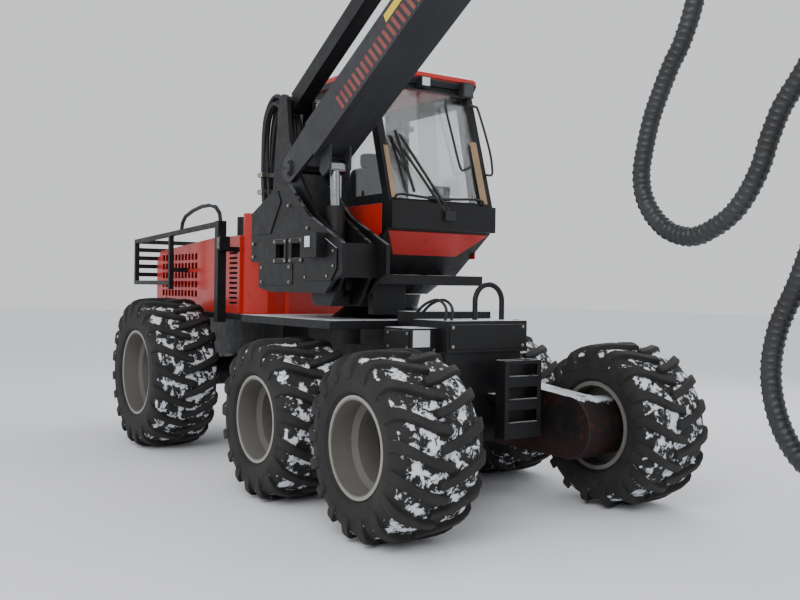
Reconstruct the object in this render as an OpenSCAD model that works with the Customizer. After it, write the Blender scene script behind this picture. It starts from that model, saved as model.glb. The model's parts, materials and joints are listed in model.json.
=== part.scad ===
// Forestry harvester: six-wheeled articulated carrier with a slewing cab,
// a parallel crane and a hanging harvester head.
// X points forward, Y to the machine's left, Z up. Lengths are millimetres.

/* [Wheels] */
// Overall diameter of the four front bogie tyres
front_tyre_d = 1330; // [1290:5:1370]
// Overall diameter of the two rear tyres
rear_tyre_d = 1610; // [1560:5:1660]
// Width of every tyre
tyre_w = 710; // [660:5:740]
// Bead seat diameter of the front rims
front_rim_d = 673; // [640:1:700]
// Bead seat diameter of the rear rims
rear_rim_d = 864; // [820:1:900]
// Distance between the two wheel centres of one bogie
bogie_spacing = 1580; // [1540:5:1640]
// Distance from the bogie centre back to the rear axle
wheelbase = 3790; // [3700:5:3900]
// Distance between the middles of the left and right tyres
track_w = 2250; // [2220:5:2320]

/* [Chassis] */
// Width of the front frame between its side plates
frame_w = 760; // [700:10:800]
// Height of the front frame's belly over the ground
frame_belly_z = 620; // [560:5:680]
// Height of the front frame's top plate
frame_top_z = 1250; // [1200:5:1300]
// Distance from the bogie centre back to the steering pivot
pivot_back = 2200; // [2160:5:2260]
// Radius of the steering pivot pin
pivot_pin_r = 60; // [45:1:75]
// Width of the walkway deck
deck_w = 2000; // [1800:10:2100]
// Height of the walkway deck's top face
deck_top_z = 1480; // [1440:5:1500]
// Width of the engine hood
hood_w = 1400; // [1300:10:1440]

/* [Platform and cab] */
// Distance from the bogie centre back to the slewing axis
slew_back = 1150; // [1120:5:1180]
// Radius of the slewing ring
slew_r = 430; // [380:5:470]
// Height of the slewing ring's underside
slew_z = 1700; // [1690:5:1720]
// Width of the cab
cab_w = 1120; // [1060:5:1160]
// Height of the cab's window line
window_line_z = 2500; // [2460:5:2540]
// Height of the cab's top rail, under the roof
cab_rail_z = 3600; // [3540:5:3660]
// Thickness of the cab's walls
cab_wall = 45; // [35:1:60]
// Thickness of the window panes
glass_t = 8; // [5:1:12]

/* [Crane] */
// Distance from the main boom's foot pin to its knuckle pin
boom_len = 4200; // [4000:10:4400]
// Slope of the parked main boom
boom_angle = 29.5; // [26:0.5:33]
// Width of the main boom
boom_w = 360; // [320:5:380]
// Height of the main boom's section at its foot
boom_h = 330; // [300:5:350]
// Distance from the jib's pin to its tip pin with the extension in
jib_len = 2220; // [2100:10:2300]
// Slope of the parked jib, downwards
jib_angle = 37; // [33:0.5:41]
// Radius of the crane's hinge pins
pin_r = 40; // [30:1:48]

/* [Head] */
// Width between the head's hanger arms
hanger_w = 560; // [520:5:600]
// Height of the hanging head's main frame
head_h = 1700; // [1600:10:1800]
// Distance that the head's frame sits in front of its tilt pins, for balance
head_shift = -34; // [-60:1:60]

/* [Hidden] */
// Radial gap between a pin and its bore
pin_gap = 0.3;
// Gap between parts that move past each other
run_gap = 5;
// Gap between pieces that are seated on each other
seat_gap = 0.3;
$fn = 64;

// Colours seen on the machine
red = [0.76, 0.13, 0.10];
black = [0.07, 0.07, 0.08];
charcoal = [0.20, 0.20, 0.22];
silver = [0.62, 0.63, 0.64];
rubber = [0.05, 0.05, 0.05];
steel = [0.75, 0.75, 0.76];
glass = [0.45, 0.50, 0.52, 0.4];

// Wheel positions: name, distance ahead of the bogie centre, side (-1 right, 1 left), tyre diameter, rim diameter
WX = 0;
WSIDE = 1;
WTYRE = 2;
WRIM = 3;
half_spacing = bogie_spacing / 2;
front_right = [half_spacing, -1, front_tyre_d, front_rim_d];
front_left = [half_spacing, 1, front_tyre_d, front_rim_d];
middle_right = [-half_spacing, -1, front_tyre_d, front_rim_d];
middle_left = [-half_spacing, 1, front_tyre_d, front_rim_d];
rear_right = [-wheelbase, -1, rear_tyre_d, rear_rim_d];
rear_left = [-wheelbase, 1, rear_tyre_d, rear_rim_d];

front_axle_z = front_tyre_d / 2;
rear_axle_z = rear_tyre_d / 2;
half_track = track_w / 2;

// The head hangs furthest forward and the rear guard is furthest back: the origin is midway
rear_end = 5520;
front_end = 5189;
origin_shift = (rear_end - front_end) / 2;

// Crane points in its own plane: distance ahead of the bogie centre, height
crane_y = -765;
foot = [-1200, 2790];
tie_offset = [-210, 600];
knuckle = foot + boom_len * [cos(boom_angle), sin(boom_angle)];
tie_foot = foot + tie_offset;
jib_offset = [420, -60];
jib_pin = knuckle + jib_offset;
tip = jib_pin + jib_len * [cos(jib_angle), -sin(jib_angle)];
lift_low = [-650, 1660];
lift_lug = [420, -260];
lift_high = foot + turn(lift_lug, boom_angle);
jib_cyl_offset = [110, 300];
jib_cyl_low = jib_pin + jib_cyl_offset;
jib_lug = [1240, 398];
jib_cyl_high = jib_pin + turn(jib_lug, -jib_angle);

function turn(p, a) = [p[0] * cos(a) - p[1] * sin(a), p[0] * sin(a) + p[1] * cos(a)];
function angle_of(v) = atan2(v[1], v[0]);

// Puts the model's origin below the middle of its outline
module placed() {
    translate([origin_shift, 0, 0])
        children();
}

// A flat outline in the X-Z plane, w thick from y upwards
module slab(y, w) {
    translate([0, y + w, 0])
        rotate([90, 0, 0])
            linear_extrude(w)
                children();
}

// A round bar along Y, centred on the plane y = 0
module cross_bar(r, w) {
    rotate([90, 0, 0])
        cylinder(r = r, h = w, center = true);
}

// Moves a part drawn about its own pin to a crane point, sloped at an angle
module crane_at(p, a = 0) {
    translate([p[0], crane_y, p[1]])
        rotate([0, -a, 0])
            children();
}

// A tapering rectangular tube along X, open at both ends
module box_beam(x0, x1, w, h0, h1, wall) {
    slope = (h1 - h0) / (x1 - x0);
    over = 10;
    difference() {
        slab(-w / 2, w)
            polygon([[x0, -h0 / 2], [x1, -h1 / 2], [x1, h1 / 2], [x0, h0 / 2]]);
        slab(-w / 2 + wall, w - 2 * wall)
            polygon([
                [x0 - over, -(h0 - slope * over) / 2 + wall], [x1 + over, -(h1 + slope * over) / 2 + wall],
                [x1 + over, (h1 + slope * over) / 2 - wall], [x0 - over, (h0 - slope * over) / 2 - wall]
            ]);
    }
}

/* Wheels */
rim_w = 620;
flange_t = 12;
flange_h = 20;
disc_t = 24;
disc_in = 125;
stub_r = 60;
hub_r = 150;
barrel_t = 14;
well_depth = 45;
lugs_per_side = 14;
lug_h = 42;
lug_slant = 95;
lug_w_middle = 62;
lug_w_shoulder = 92;

module wheel_at(w) {
    translate([w[WX], w[WSIDE] * half_track, w[WTYRE] / 2])
        rotate([-90 * w[WSIDE], 0, 0])
            children();
}

// Drawn about Z with the outer side up
module tyre(w) {
    r = w[WTYRE] / 2;
    bead = w[WRIM] / 2;
    bead_w = rim_w / 2 - flange_t - 12;
    tread_r = r - lug_h;
    color(rubber)
        wheel_at(w)
            union() {
                rotate_extrude($fn = 20)
                    polygon([
                        [bead + seat_gap, -bead_w], [bead + (tread_r - bead) * 0.45, -tyre_w / 2 + 8],
                        [tread_r, -tyre_w / 2 + 60], [tread_r, tyre_w / 2 - 60],
                        [bead + (tread_r - bead) * 0.45, tyre_w / 2 - 8], [bead + seat_gap, bead_w]
                    ]);
                for (s = [-1, 1])
                    for (i = [0:lugs_per_side - 1])
                        rotate([0, 0, (i + (s > 0 ? 0.5 : 0)) * 360 / lugs_per_side])
                            tread_lug(r, s, -w[WSIDE]);
            }
}

// One bar of the tread, slanting from the tyre's middle to a shoulder: s is the side, turn its slant
module tread_lug(r, s, turn) {
    reach = (lug_slant + lug_w_shoulder) / 2;
    top = sqrt(r * r - reach * reach);
    in_z = s * 12;
    out_z = s * tyre_w / 2;
    near = -turn * lug_slant / 2;
    far = turn * lug_slant / 2;
    rotate([0, 0, -turn * atan2(reach, top)])
        translate([top - 2 * lug_h - 50, 0, 0])
            rotate([90, 0, 90])
                linear_extrude(2 * lug_h + 50)
                    polygon([
                        [near - lug_w_middle / 2, in_z], [near + lug_w_middle / 2, in_z],
                        [far + lug_w_shoulder / 2, out_z], [far - lug_w_shoulder / 2, out_z]
                    ]);
}

module rim(w) {
    bead = w[WRIM] / 2;
    well = bead - well_depth;
    color(silver)
        wheel_at(w)
            difference() {
                union() {
                    rotate_extrude()
                        polygon([
                            [bead - barrel_t, -rim_w / 2], [bead + flange_h, -rim_w / 2],
                            [bead + flange_h, -rim_w / 2 + flange_t], [bead, -rim_w / 2 + flange_t],
                            [bead, -80], [well, -50], [well, 110], [bead, 140],
                            [bead, rim_w / 2 - flange_t], [bead + flange_h, rim_w / 2 - flange_t],
                            [bead + flange_h, rim_w / 2], [bead - barrel_t, rim_w / 2],
                            [bead - barrel_t, 146], [well - barrel_t, 116], [well - barrel_t, -56], [bead - barrel_t, -86]
                        ]);
                    translate([0, 0, -disc_in - disc_t])
                        cylinder(r = bead - barrel_t / 2, h = disc_t);
                    translate([0, 0, -disc_in - 1])
                        cylinder(r = hub_r, h = 111);
                }
                translate([0, 0, -disc_in - disc_t - 1])
                    cylinder(r = stub_r + pin_gap, h = 100);
            }
}

/* Front carrier */
case_w = 240;
case_in = 520;
axle_r = 190;

// The housing that carries a wheel: it enters the rim from its inner side and ends in a stub shaft
module wheel_housing(w, start_y, r) {
    length = half_track - disc_in - disc_t - run_gap - start_y;
    translate([w[WX], w[WSIDE] * start_y, w[WTYRE] / 2])
        rotate([-90 * w[WSIDE], 0, 0])
            union() {
                cylinder(r = r, h = length);
                cylinder(r = stub_r, h = length + run_gap + 80);
            }
}

module bogie(side) {
    y = side > 0 ? case_in : -case_in - case_w;
    color(black)
        union() {
            slab(y, case_w)
                union() {
                    for (x = [-half_spacing, half_spacing])
                        translate([x, front_axle_z])
                            circle(r = 250);
                    translate([0, front_axle_z])
                        polygon([
                            [-half_spacing - 40, -246], [half_spacing + 40, -246], [half_spacing + 60, 242], [300, 290],
                            [-300, 290], [-half_spacing - 60, 242]
                        ]);
                }
            for (w = side > 0 ? [front_left, middle_left] : [front_right, middle_right])
                wheel_housing(w, case_in + 60, 235);
        }
}

module bogie_axle() {
    color(black)
        translate([0, 0, front_axle_z])
            cross_bar(axle_r, 2 * case_in - 2 * seat_gap);
}

frame_front = 380;
frame_back = -1950;
lug_t = 50;
eye_h = 360;
eye_mid_z = 980;

module front_frame() {
    color(black)
        difference() {
            union() {
                slab(-frame_w / 2, frame_w)
                    polygon([
                        [frame_back, 760], [-1500, frame_belly_z], [frame_front, frame_belly_z - 80],
                        [frame_front, frame_top_z], [frame_back, frame_top_z]
                    ]);
                for (z = [eye_mid_z - eye_h / 2 - run_gap - lug_t, eye_mid_z + eye_h / 2 + run_gap])
                    translate([0, 0, z])
                        linear_extrude(lug_t)
                            union() {
                                translate([-pivot_back, 0])
                                    circle(r = 150);
                                polygon([
                                    [-pivot_back, -150], [frame_back + 5, -frame_w / 2 + 40],
                                    [frame_back + 5, frame_w / 2 - 40], [-pivot_back, 150]
                                ]);
                            }
                translate([-pivot_back, 0, eye_mid_z - eye_h / 2 - lug_t])
                    cylinder(r = pivot_pin_r, h = eye_h + 2 * lug_t);
            }
            translate([0, 0, front_axle_z])
                cross_bar(axle_r + seat_gap, frame_w + 10);
            translate([-700, 0, 0])
                slab(-frame_w / 2 + 30, frame_w - 60)
                    translate([0, frame_belly_z + 120])
                        square([400, frame_top_z - frame_belly_z - 200]);
        }
}

module nose_box() {
    color(black)
        union() {
            translate([-80, -380, frame_top_z])
                cube([480, 810, 250]);
            translate([-300, -380, frame_top_z])
                cube([230, 810, 310]);
            translate([-100, -640, frame_top_z])
                cube([380, 261, 190]);
            translate([200, 185, 1650])
                rotate([90, 0, 90])
                    hoop(140, 300, 22);
        }
}

// A hoop of round tube: straight legs and a half circle on top, drawn in the X-Y plane
module hoop(half_w, h, r) {
    rotate_extrude(angle = 180)
        translate([half_w, 0])
            circle(r = r);
    for (s = [-1, 1])
        translate([s * half_w, 0, 0])
            rotate([90, 0, 0])
                cylinder(r = r, h = h - half_w);
}

module front_steps() {
    wall = 12;
    low = 590;
    back = 540;
    color(black)
        union() {
            difference() {
                translate([back, -10, low])
                    cube([120, 370, 610]);
                translate([back + wall, -10 + wall, low + wall])
                    cube([120 - 2 * wall, 370 - 2 * wall, 610]);
                for (z = [720, 900, 1080])
                    translate([back + 60, 30, z])
                        cube([100, 290, 90]);
            }
            translate([frame_front, 40, 860])
                cube([back - frame_front + 1, 270, 60]);
        }
}

module front_deck() {
    t = 70;
    color(black)
        difference() {
            union() {
                translate([-2050, -deck_w / 2, deck_top_z - t])
                    cube([1700, deck_w, t]);
                translate([-1850, -frame_w / 2, frame_top_z])
                    cube([1400, frame_w, deck_top_z - t - frame_top_z]);
            }
            translate([-slew_back, 0, frame_top_z - 1])
                cylinder(r = slew_r + 30 + seat_gap, h = 400);
        }
}

module pedestal() {
    color(black)
        translate([-slew_back, 0, frame_top_z])
            rotate_extrude()
                polygon([[king_r + pin_gap, 0], [slew_r + 30, 0], [slew_r + 30, 230], [slew_r - 90, 330],
                    [slew_r - 60, slew_z - frame_top_z - run_gap],
                    [king_r + pin_gap, slew_z - frame_top_z - run_gap]]);
}

/* Rear carrier */
rear_back = -5400;
rear_front = -2480;
rear_deck_front = -2600;
rear_deck_z = 1460;
pin_plate_y = [-500, 500];

module rear_frame() {
    color(black)
        difference() {
            union() {
                slab(-340, 680)
                    polygon([
                        [rear_back, 960], [rear_back + 250, 720], [rear_front, 720], [rear_front, rear_deck_z - 20],
                        [rear_back, rear_deck_z - 20]
                    ]);
                translate([0, 0, eye_mid_z - eye_h / 2])
                    linear_extrude(eye_h)
                        polygon([[rear_front - 5, -200], [-pivot_back, -90], [-pivot_back, 90], [rear_front - 5, 200]]);
                translate([-pivot_back, 0, eye_mid_z - eye_h / 2])
                    cylinder(r = 115, h = eye_h);
                translate([rear_back - 60, 0, 900])
                    clevis();
                translate([hood_back - 100, -hood_w / 2, rear_deck_z - 60])
                    cube([rear_deck_front - hood_back + 100, hood_w, 60]);
                for (y = pin_plate_y) {
                    for (s = [-1, 1])
                        translate([0, y + s * 45 - 10, 0])
                            slab(0, 20)
                                union() {
                                    translate(hood_pin)
                                        circle(r = 28);
                                    translate([hood_pin[0] - 28, rear_deck_z - 1])
                                        square([56, hood_pin[1] - rear_deck_z + 1]);
                                }
                    translate([hood_pin[0], y, hood_pin[1]])
                        cross_bar(hood_pin_r, 100);
                }
            }
            translate([-pivot_back, 0, eye_mid_z - eye_h])
                cylinder(r = pivot_pin_r + pin_gap, h = 2 * eye_h);
            translate([-wheelbase, 0, rear_axle_z])
                cross_bar(rear_axle_r + seat_gap, 800);
        }
}

hitch_r = 20;

// Tow clevis: two plates with a vertical pin hole
module clevis() {
    difference() {
        union() {
            for (z = [0, 90])
                translate([-60, -70, z])
                    cube([200, 140, 30]);
            translate([60, -70, 0])
                cube([80, 140, 120]);
        }
        translate([-10, 0, -10])
            cylinder(r = hitch_r, h = 160);
    }
}

rear_axle_r = 170;

module rear_axle() {
    color(black)
        union() {
            translate([-wheelbase, 0, rear_axle_z])
                cross_bar(rear_axle_r, 1400);
            for (w = [rear_right, rear_left])
                wheel_housing(w, 600, 240);
        }
}

bulk_x = -2760;
bulk_top_z = 2500;

module bulkhead() {
    half = hood_w / 2 - 30;
    deep = 160;
    color(red)
        difference() {
            translate([bulk_x, 0, rear_deck_z])
                union() {
                    linear_extrude(bulk_top_z - rear_deck_z)
                        polygon([[0, -half], [60, -half], [deep, -460], [deep, 460], [60, half], [0, half]]);
                    translate([deep - 1, -250, 0])
                        cube([51, 500, 500]);
                }
            translate([bulk_x - 1, -440, rear_deck_z + 40])
                cube([deep - 39, 880, bulk_top_z - rear_deck_z - 140]);
        }
}

module engine() {
    long = 1500;
    wide = 700;
    color(charcoal)
        translate([-wheelbase - 660, -wide / 2, rear_deck_z])
            cube([long, wide, 520]);
}

module exhaust() {
    color(black)
        translate([(hood_crest + hood_front) / 2 - 190, -420, hood_top_z + seat_gap])
            cylinder(r = 70, h = 230);
}

hood_wall = 10;
hood_z = 1465;
hood_pin = [-5290, 1500];
hood_pin_r = 15;
hood_back = -5250;
hood_front = -2770;
hood_top_z = 2270;
hood_crest = -3450;
hood_rear_z = 2165;
grille_from = [-5050, 1620];
grille_pitch = 105;
grille_hole = 72;
louvre_from = [-3030, 1560];
louvre_pitch = 52;

module hood() {
    color(red)
        difference() {
            union() {
                slab(-hood_w / 2, hood_w)
                    polygon([
                        [hood_back, hood_z], [hood_front, hood_z], [hood_front, hood_top_z], [hood_crest, hood_top_z],
                        [hood_back + 120, hood_rear_z], [hood_back, hood_rear_z - 130]
                    ]);
                for (y = pin_plate_y)
                    translate([0, y - 32, 0])
                        slab(0, 64)
                            union() {
                                translate(hood_pin)
                                    circle(r = 28);
                                translate([hood_pin[0], hood_pin[1] - 20])
                                    square([hood_back - hood_pin[0] + 2, 40]);
                            }
            }
            slab(-hood_w / 2 + hood_wall, hood_w - 2 * hood_wall)
                polygon([
                    [hood_back + hood_wall, hood_z - 1], [hood_front - hood_wall, hood_z - 1],
                    [hood_front - hood_wall, hood_top_z - hood_wall], [hood_crest, hood_top_z - hood_wall],
                    [hood_back + 120, hood_rear_z - hood_wall], [hood_back + hood_wall, hood_rear_z - 130]
                ]);
            translate([hood_pin[0], 0, hood_pin[1]])
                cross_bar(hood_pin_r + pin_gap, hood_w);
            for (i = [0:10])
                for (k = [0:4])
                    translate([grille_from[0] + i * grille_pitch, -hood_w / 2 - 1, grille_from[1] + k * grille_pitch])
                        cube([grille_hole, hood_w + 2, grille_hole]);
            for (k = [0:11])
                translate([louvre_from[0], -hood_w / 2 - 1, louvre_from[1] + k * louvre_pitch])
                    cube([200, hood_w + 2, 22]);
        }
}

rail_t = 50;
post_t = 90;
guard_y = 900;
guard_back = -5450;
guard_low_z = 1750;
guard_top_z = 2310;
post_x = -2800;
thin_post_x = -4200;
// Round bar over the hood's front corner: distance ahead of the bogie centre, height
arch_route = [
    [-3900, 2350], [-3870, 2440], [-3780, 2510], [-3560, 2560], [-3300, 2590], [-3080, 2590], [-2930, 2560],
    [-2830, 2490], [-2800, 2390]
];

// Rails along both sides of the hood and slats round its back
module hood_guard() {
    side = hood_w / 2 + seat_gap;
    arm = guard_y - side;
    color(black)
        union() {
            for (s = [-1, 1]) {
                translate([0, s * guard_y - rail_t / 2, 0])
                    union() {
                        slab(0, rail_t)
                            polygon([
                                [guard_back, guard_top_z - rail_t], [post_x, 2360], [post_x, 2410],
                                [guard_back, guard_top_z]
                            ]);
                        translate([guard_back, 0, guard_low_z])
                            cube([rail_t, rail_t, guard_top_z - guard_low_z]);
                        translate([guard_back, 0, guard_low_z])
                            cube([thin_post_x - guard_back, rail_t, rail_t]);
                        translate([thin_post_x - rail_t, 0, 1700])
                            cube([rail_t, rail_t, 640]);
                    }
                translate([post_x - post_t / 2, s * guard_y - post_t / 2, 1380])
                    cube([post_t, post_t, 1030]);
                tube(arch_route, s * guard_y, 44, 8);
                for (at = [[guard_back + 250, guard_low_z], [thin_post_x - rail_t, 1900], [post_x - 25, 2100]])
                    translate([at[0], s > 0 ? side : -side - arm, at[1]])
                        cube([rail_t, arm, rail_t]);
            }
            for (i = [0:5])
                translate([guard_back, -guard_y, guard_low_z + i * 102])
                    cube([30, 2 * guard_y, rail_t]);
            translate([post_x + post_t / 2 - 1, -guard_y - 55, 2110])
                cube([70, 110, 140]);
        }
}

/* Platform and crane base */
king_r = 150;
plate_t = 35;
cheek = boom_w / 2 + 10;
plate_out = cheek + plate_t;
fork_t = 30;
boss_t = 15;
post_out = boom_w / 2 - fork_t - run_gap;
base_back = -1860;
base_front = -180;
floor_z = slew_z + 165;

module platform() {
    right = crane_y + plate_out;
    rim_z = slew_z + 80;
    color(black)
        union() {
            translate([-slew_back, 0, slew_z])
                cylinder(r1 = slew_r, r2 = 530, h = rim_z - slew_z + 1);
            translate([-slew_back, 0, slew_z - 150])
                cylinder(r = king_r, h = 160);
            translate([-1900, right, rim_z])
                cube([1500, 600 - right, floor_z - rim_z]);
            translate([-640, -460, 1520])
                cube([80, 340, rim_z - 1519]);
        }
}

module base_plate_outline() {
    polygon([
        [base_back, 1975], [-1700, 1965], [-1700, 1740], [-1450, slew_z], [-450, slew_z], [-330, 1800],
        [base_front, 1860], [base_front, 2100], [-750, 2350], [-1130, 2640], [-1330, 2640], [base_back, 2420]
    ]);
}

// The two plates between which the lift cylinder stands; they carry the boom's foot and the tie rod's foot
module post_outline() {
    union() {
        polygon([
            [base_back, 1980], [-1700, 1760], [-850, 1760], [-790, 1595], [-500, 1595], [-330, 1820], [-330, 2120],
            [-750, 2350], [foot[0] + 100, foot[1] - 46], [foot[0] + 104, foot[1] + 36], [-1270, 3050], [-1325, tie_foot[1]],
            [-1495, tie_foot[1]], [-1600, 2520], [base_back, 2380]
        ]);
        translate(foot)
            circle(r = 110);
        translate(tie_foot)
            circle(r = 85);
    }
}

module crane_base() {
    color(black)
        difference() {
            union() {
                for (s = [-1, 1]) {
                    translate([0, crane_y + s * (cheek + plate_t / 2) - plate_t / 2, 0])
                        slab(0, plate_t)
                            base_plate_outline();
                    translate([0, crane_y + s * (post_out - plate_t / 2) - plate_t / 2, 0])
                        slab(0, plate_t)
                            post_outline();
                }
                translate([-1690, crane_y - cheek - 1, 1770])
                    cube([840, 2 * cheek + 2, 60]);
                translate([base_back, crane_y - cheek - 1, 1980])
                    cube([40, 2 * cheek + 2, 390]);
                translate([-370, crane_y - cheek - 1, 1830])
                    cube([40, 2 * cheek + 2, 280]);
                crane_at(foot)
                    cross_bar(pin_r, boom_w + 2 * boss_t);
                crane_at(tie_foot)
                    cross_bar(pin_r, 2 * post_out);
                crane_at(lift_low)
                    cross_bar(pin_r, 2 * post_out);
                translate([-700, crane_y - plate_out - 90, 1990])
                    cube([260, 91, 200]);
            }
            for (x = [-1330, -1030])
                translate([x, crane_y - plate_out - 5, 2000])
                    cube([150, plate_t + 10, 120]);
        }
}

/* Cab */
cab_right = -380;
cab_left = cab_right + cab_w;
cab_back = -2140;
cab_front = -450;
rake = 350;
mid_y = (cab_left + cab_right) / 2;
cab_low_front = -1000;
brow_z = 2250;
chin = [-750, 2020];
chin_y = [-140, 500];

// How far forward the windscreen's plane stands at a height
function front_x(z) = cab_front - rake * (z - window_line_z) / (cab_rail_z - window_line_z);

// The cab's body, shrunk all round by an inset; its lower part narrows to a chin
module cab_body(inset, top) {
    union() {
        hull() {
            translate([cab_back + inset, cab_right + inset, floor_z + inset])
                cube([cab_low_front - cab_back - 2 * inset, cab_w - 2 * inset, 1]);
            translate([chin[0] - inset - 1, chin_y[0] + inset, chin[1] + inset])
                cube([1, chin_y[1] - chin_y[0] - 2 * inset, 1]);
            translate([cab_back + inset, cab_right + inset, brow_z])
                cube([cab_front - 30 - cab_back - 2 * inset, cab_w - 2 * inset, 1]);
        }
        slab(cab_right + inset, cab_w - 2 * inset)
            polygon([
                [cab_back + inset, brow_z], [cab_front - 30 - inset, brow_z], [cab_front - inset, window_line_z],
                [front_x(top) - inset, top], [cab_back + inset, top]
            ]);
    }
}

door_back = -1900;
door_front = -640;
door_low = 2000;

module side_window_outline(grow = 0) {
    low = window_line_z + 60;
    high = cab_rail_z - 60;
    polygon([
        [-1180 - grow, low - grow], [front_x(low) - 95 + grow, low - grow],
        [front_x(high) - 95 + grow, high + grow], [-1180 - grow, high + grow]
    ]);
}

module rear_side_window_outline(grow = 0) {
    polygon([
        [cab_back + 120 - grow, window_line_z + 60 - grow], [-1260 + grow, window_line_z + 60 - grow],
        [-1260 + grow, cab_rail_z - 60 + grow], [cab_back + 120 - grow, cab_rail_z - 60 + grow]
    ]);
}

module door_outline(gap = 0) {
    polygon([
        [door_back + gap, door_low + gap], [door_front - 320, door_low + gap], [door_front - gap, brow_z + 20],
        [door_front - gap, window_line_z], [door_front - 260 - gap, cab_rail_z - 60 - gap],
        [door_back + gap, cab_rail_z - 60 - gap]
    ]);
}

// The door's hinge plates and pins on the cab's side
module door_pins() {
    for (z = [2150, 3350]) {
        for (up = [-run_gap - 10, hinge_h + run_gap])
            translate([0, 0, z + up])
                linear_extrude(10)
                    union() {
                        translate([hinge_x, hinge_y])
                            circle(r = 15);
                        translate([hinge_x - 60, cab_left - 1])
                            square([60, 36]);
                    }
        translate([hinge_x, hinge_y, z - 10])
            cylinder(r = hinge_pin_r, h = hinge_h + 20);
    }
}

module cab_shell() {
    color(red)
        union() {
            door_pins();
            cab_walls();
        }
}

module cab_walls() {
    difference() {
        union() {
            cab_body(0, cab_rail_z);
            translate([cab_front - 60, cab_right, brow_z + 10])
                cube([110, cab_w, window_line_z - brow_z - 20]);
        }
        cab_body(cab_wall, cab_rail_z + 10);
        translate([cab_front - rake - 100, cab_right + 70, window_line_z + 20])
            cube([rake + 150, cab_w - 140, cab_rail_z - window_line_z - 70]);
        translate([cab_back - 10, cab_right + 90, window_line_z + 60])
            cube([100, cab_w - 180, cab_rail_z - window_line_z - 120]);
        slab(cab_right - 10, cab_wall + 20)
            side_window_outline();
        slab(cab_right - 10, cab_wall + 20)
            rear_side_window_outline();
        slab(cab_left - cab_wall - 10, cab_wall + 20)
            door_outline();
    }
}

module cab_roof() {
    half = cab_w / 2 + 30;
    back = cab_back - 30;
    color(red)
        union() {
            intersection() {
                translate([0, 0, cab_rail_z])
                    slab(cab_right - 30, cab_w + 60)
                        polygon([
                            [back, seat_gap], [-790, seat_gap], [-745, 60], [-755, 105], [-850, 145], [-1500, 235],
                            [-2000, 262], [back, 240], [back - 20, 150]
                        ]);
                translate([back - 30, mid_y, cab_rail_z])
                    rotate([90, 0, 90])
                        linear_extrude(-back)
                            polygon([
                                [-half, 0], [half, 0], [half, 90], [half - 110, 150], [half - 340, 225], [0, 265],
                                [340 - half, 225], [110 - half, 150], [-half, 90]
                            ]);
            }
            for (y = [cab_right + 40, cab_left - 150])
                translate([-775, y, cab_rail_z - 75])
                    cube([65, 110, 130]);
        }
}

module cab_glass() {
    low = window_line_z + 20 + seat_gap;
    high = cab_rail_z - 50 - seat_gap;
    color(glass)
        union() {
            slab(cab_right + 12, glass_t)
                side_window_outline(-seat_gap);
            slab(cab_right + 12, glass_t)
                rear_side_window_outline(-seat_gap);
            translate([cab_back + 12, cab_right + 90 + seat_gap, window_line_z + 60 + seat_gap])
                cube([glass_t, cab_w - 180 - 2 * seat_gap, cab_rail_z - window_line_z - 120 - 2 * seat_gap]);
            slab(cab_right + 70 + seat_gap, cab_w - 140 - 2 * seat_gap)
                polygon([
                    [front_x(low) - 15, low], [front_x(low) - 15 - glass_t, low],
                    [front_x(high) - 15 - glass_t, high], [front_x(high) - 15, high]
                ]);
        }
}

module seat() {
    color(charcoal)
        union() {
            translate([-1500, mid_y - 200, 1910 + seat_gap])
                cube([420, 400, 330]);
            translate([-1560, mid_y - 260, 2240])
                cube([540, 520, 140]);
            translate([-1660, mid_y - 250, 2300])
                cube([120, 500, 760]);
        }
}

hinge_x = door_back - 5;
hinge_y = cab_left + 20;
hinge_pin_r = 8;
hinge_h = 60;

module cab_door() {
    color(red)
        difference() {
            union() {
                slab(cab_left - cab_wall, cab_wall)
                    door_outline(run_gap);
                for (z = [2150, 3350]) {
                    translate([hinge_x, hinge_y, z])
                        cylinder(r = 15, h = hinge_h);
                    translate([hinge_x, cab_left + run_gap, z])
                        cube([160, 12, hinge_h]);
                    translate([door_back + 20, cab_left - 1, z])
                        cube([135, 12, hinge_h]);
                }
            }
            slab(cab_left - cab_wall - 10, cab_wall + 20)
                door_window_outline();
            for (z = [2150, 3350])
                translate([hinge_x, hinge_y, z - 5])
                    cylinder(r = hinge_pin_r + pin_gap, h = hinge_h + 10);
        }
}

module door_window_outline(grow = 0) {
    polygon([
        [door_back + 90 - grow, window_line_z - grow], [door_front - 90 + grow, window_line_z - grow],
        [door_front - 320 + grow, cab_rail_z - 140 + grow], [door_back + 90 - grow, cab_rail_z - 140 + grow]
    ]);
}

module door_glass() {
    color(glass)
        slab(cab_left - 20, glass_t)
            door_window_outline(-seat_gap);
}

/* Crane */
beam_wall = 12;
boom_start = 420;

module boom() {
    color(charcoal)
        crane_at(foot, boom_angle)
            difference() {
                union() {
                    box_beam(boom_start, boom_len - 180, boom_w, boom_h, 270, beam_wall);
                    for (s = [-1, 1]) {
                        translate([0, s * (boom_w - fork_t) / 2 - fork_t / 2, 0])
                            slab(0, fork_t)
                                union() {
                                    circle(r = 125);
                                    polygon([[0, -125], [boom_start + 100, -150], [boom_start + 100, 150], [0, 125]]);
                                    translate([boom_len, 0])
                                        circle(r = 115);
                                    translate([boom_len - 500, -110])
                                        square([500, 220]);
                                }
                        translate([0, s * (boom_w + boss_t) / 2, 0])
                            cross_bar(75, boss_t + 1);
                        translate([0, s * 95 - 10, 0])
                            slab(0, 20)
                                polygon([[430, -140], [600, -140], [490, -330], [360, -330], [330, -250]]);
                    }
                    translate([boom_start, -boom_w / 2, -boom_h / 2])
                        cube([20, boom_w, boom_h]);
                    translate([boom_len, 0, 0])
                        cross_bar(70, boom_w);
                }
                cross_bar(pin_r + pin_gap, boom_w + 2 * boss_t + 20);
                translate([boom_len, 0, 0])
                    cross_bar(pin_r + pin_gap, boom_w + 20);
            }
}

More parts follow.
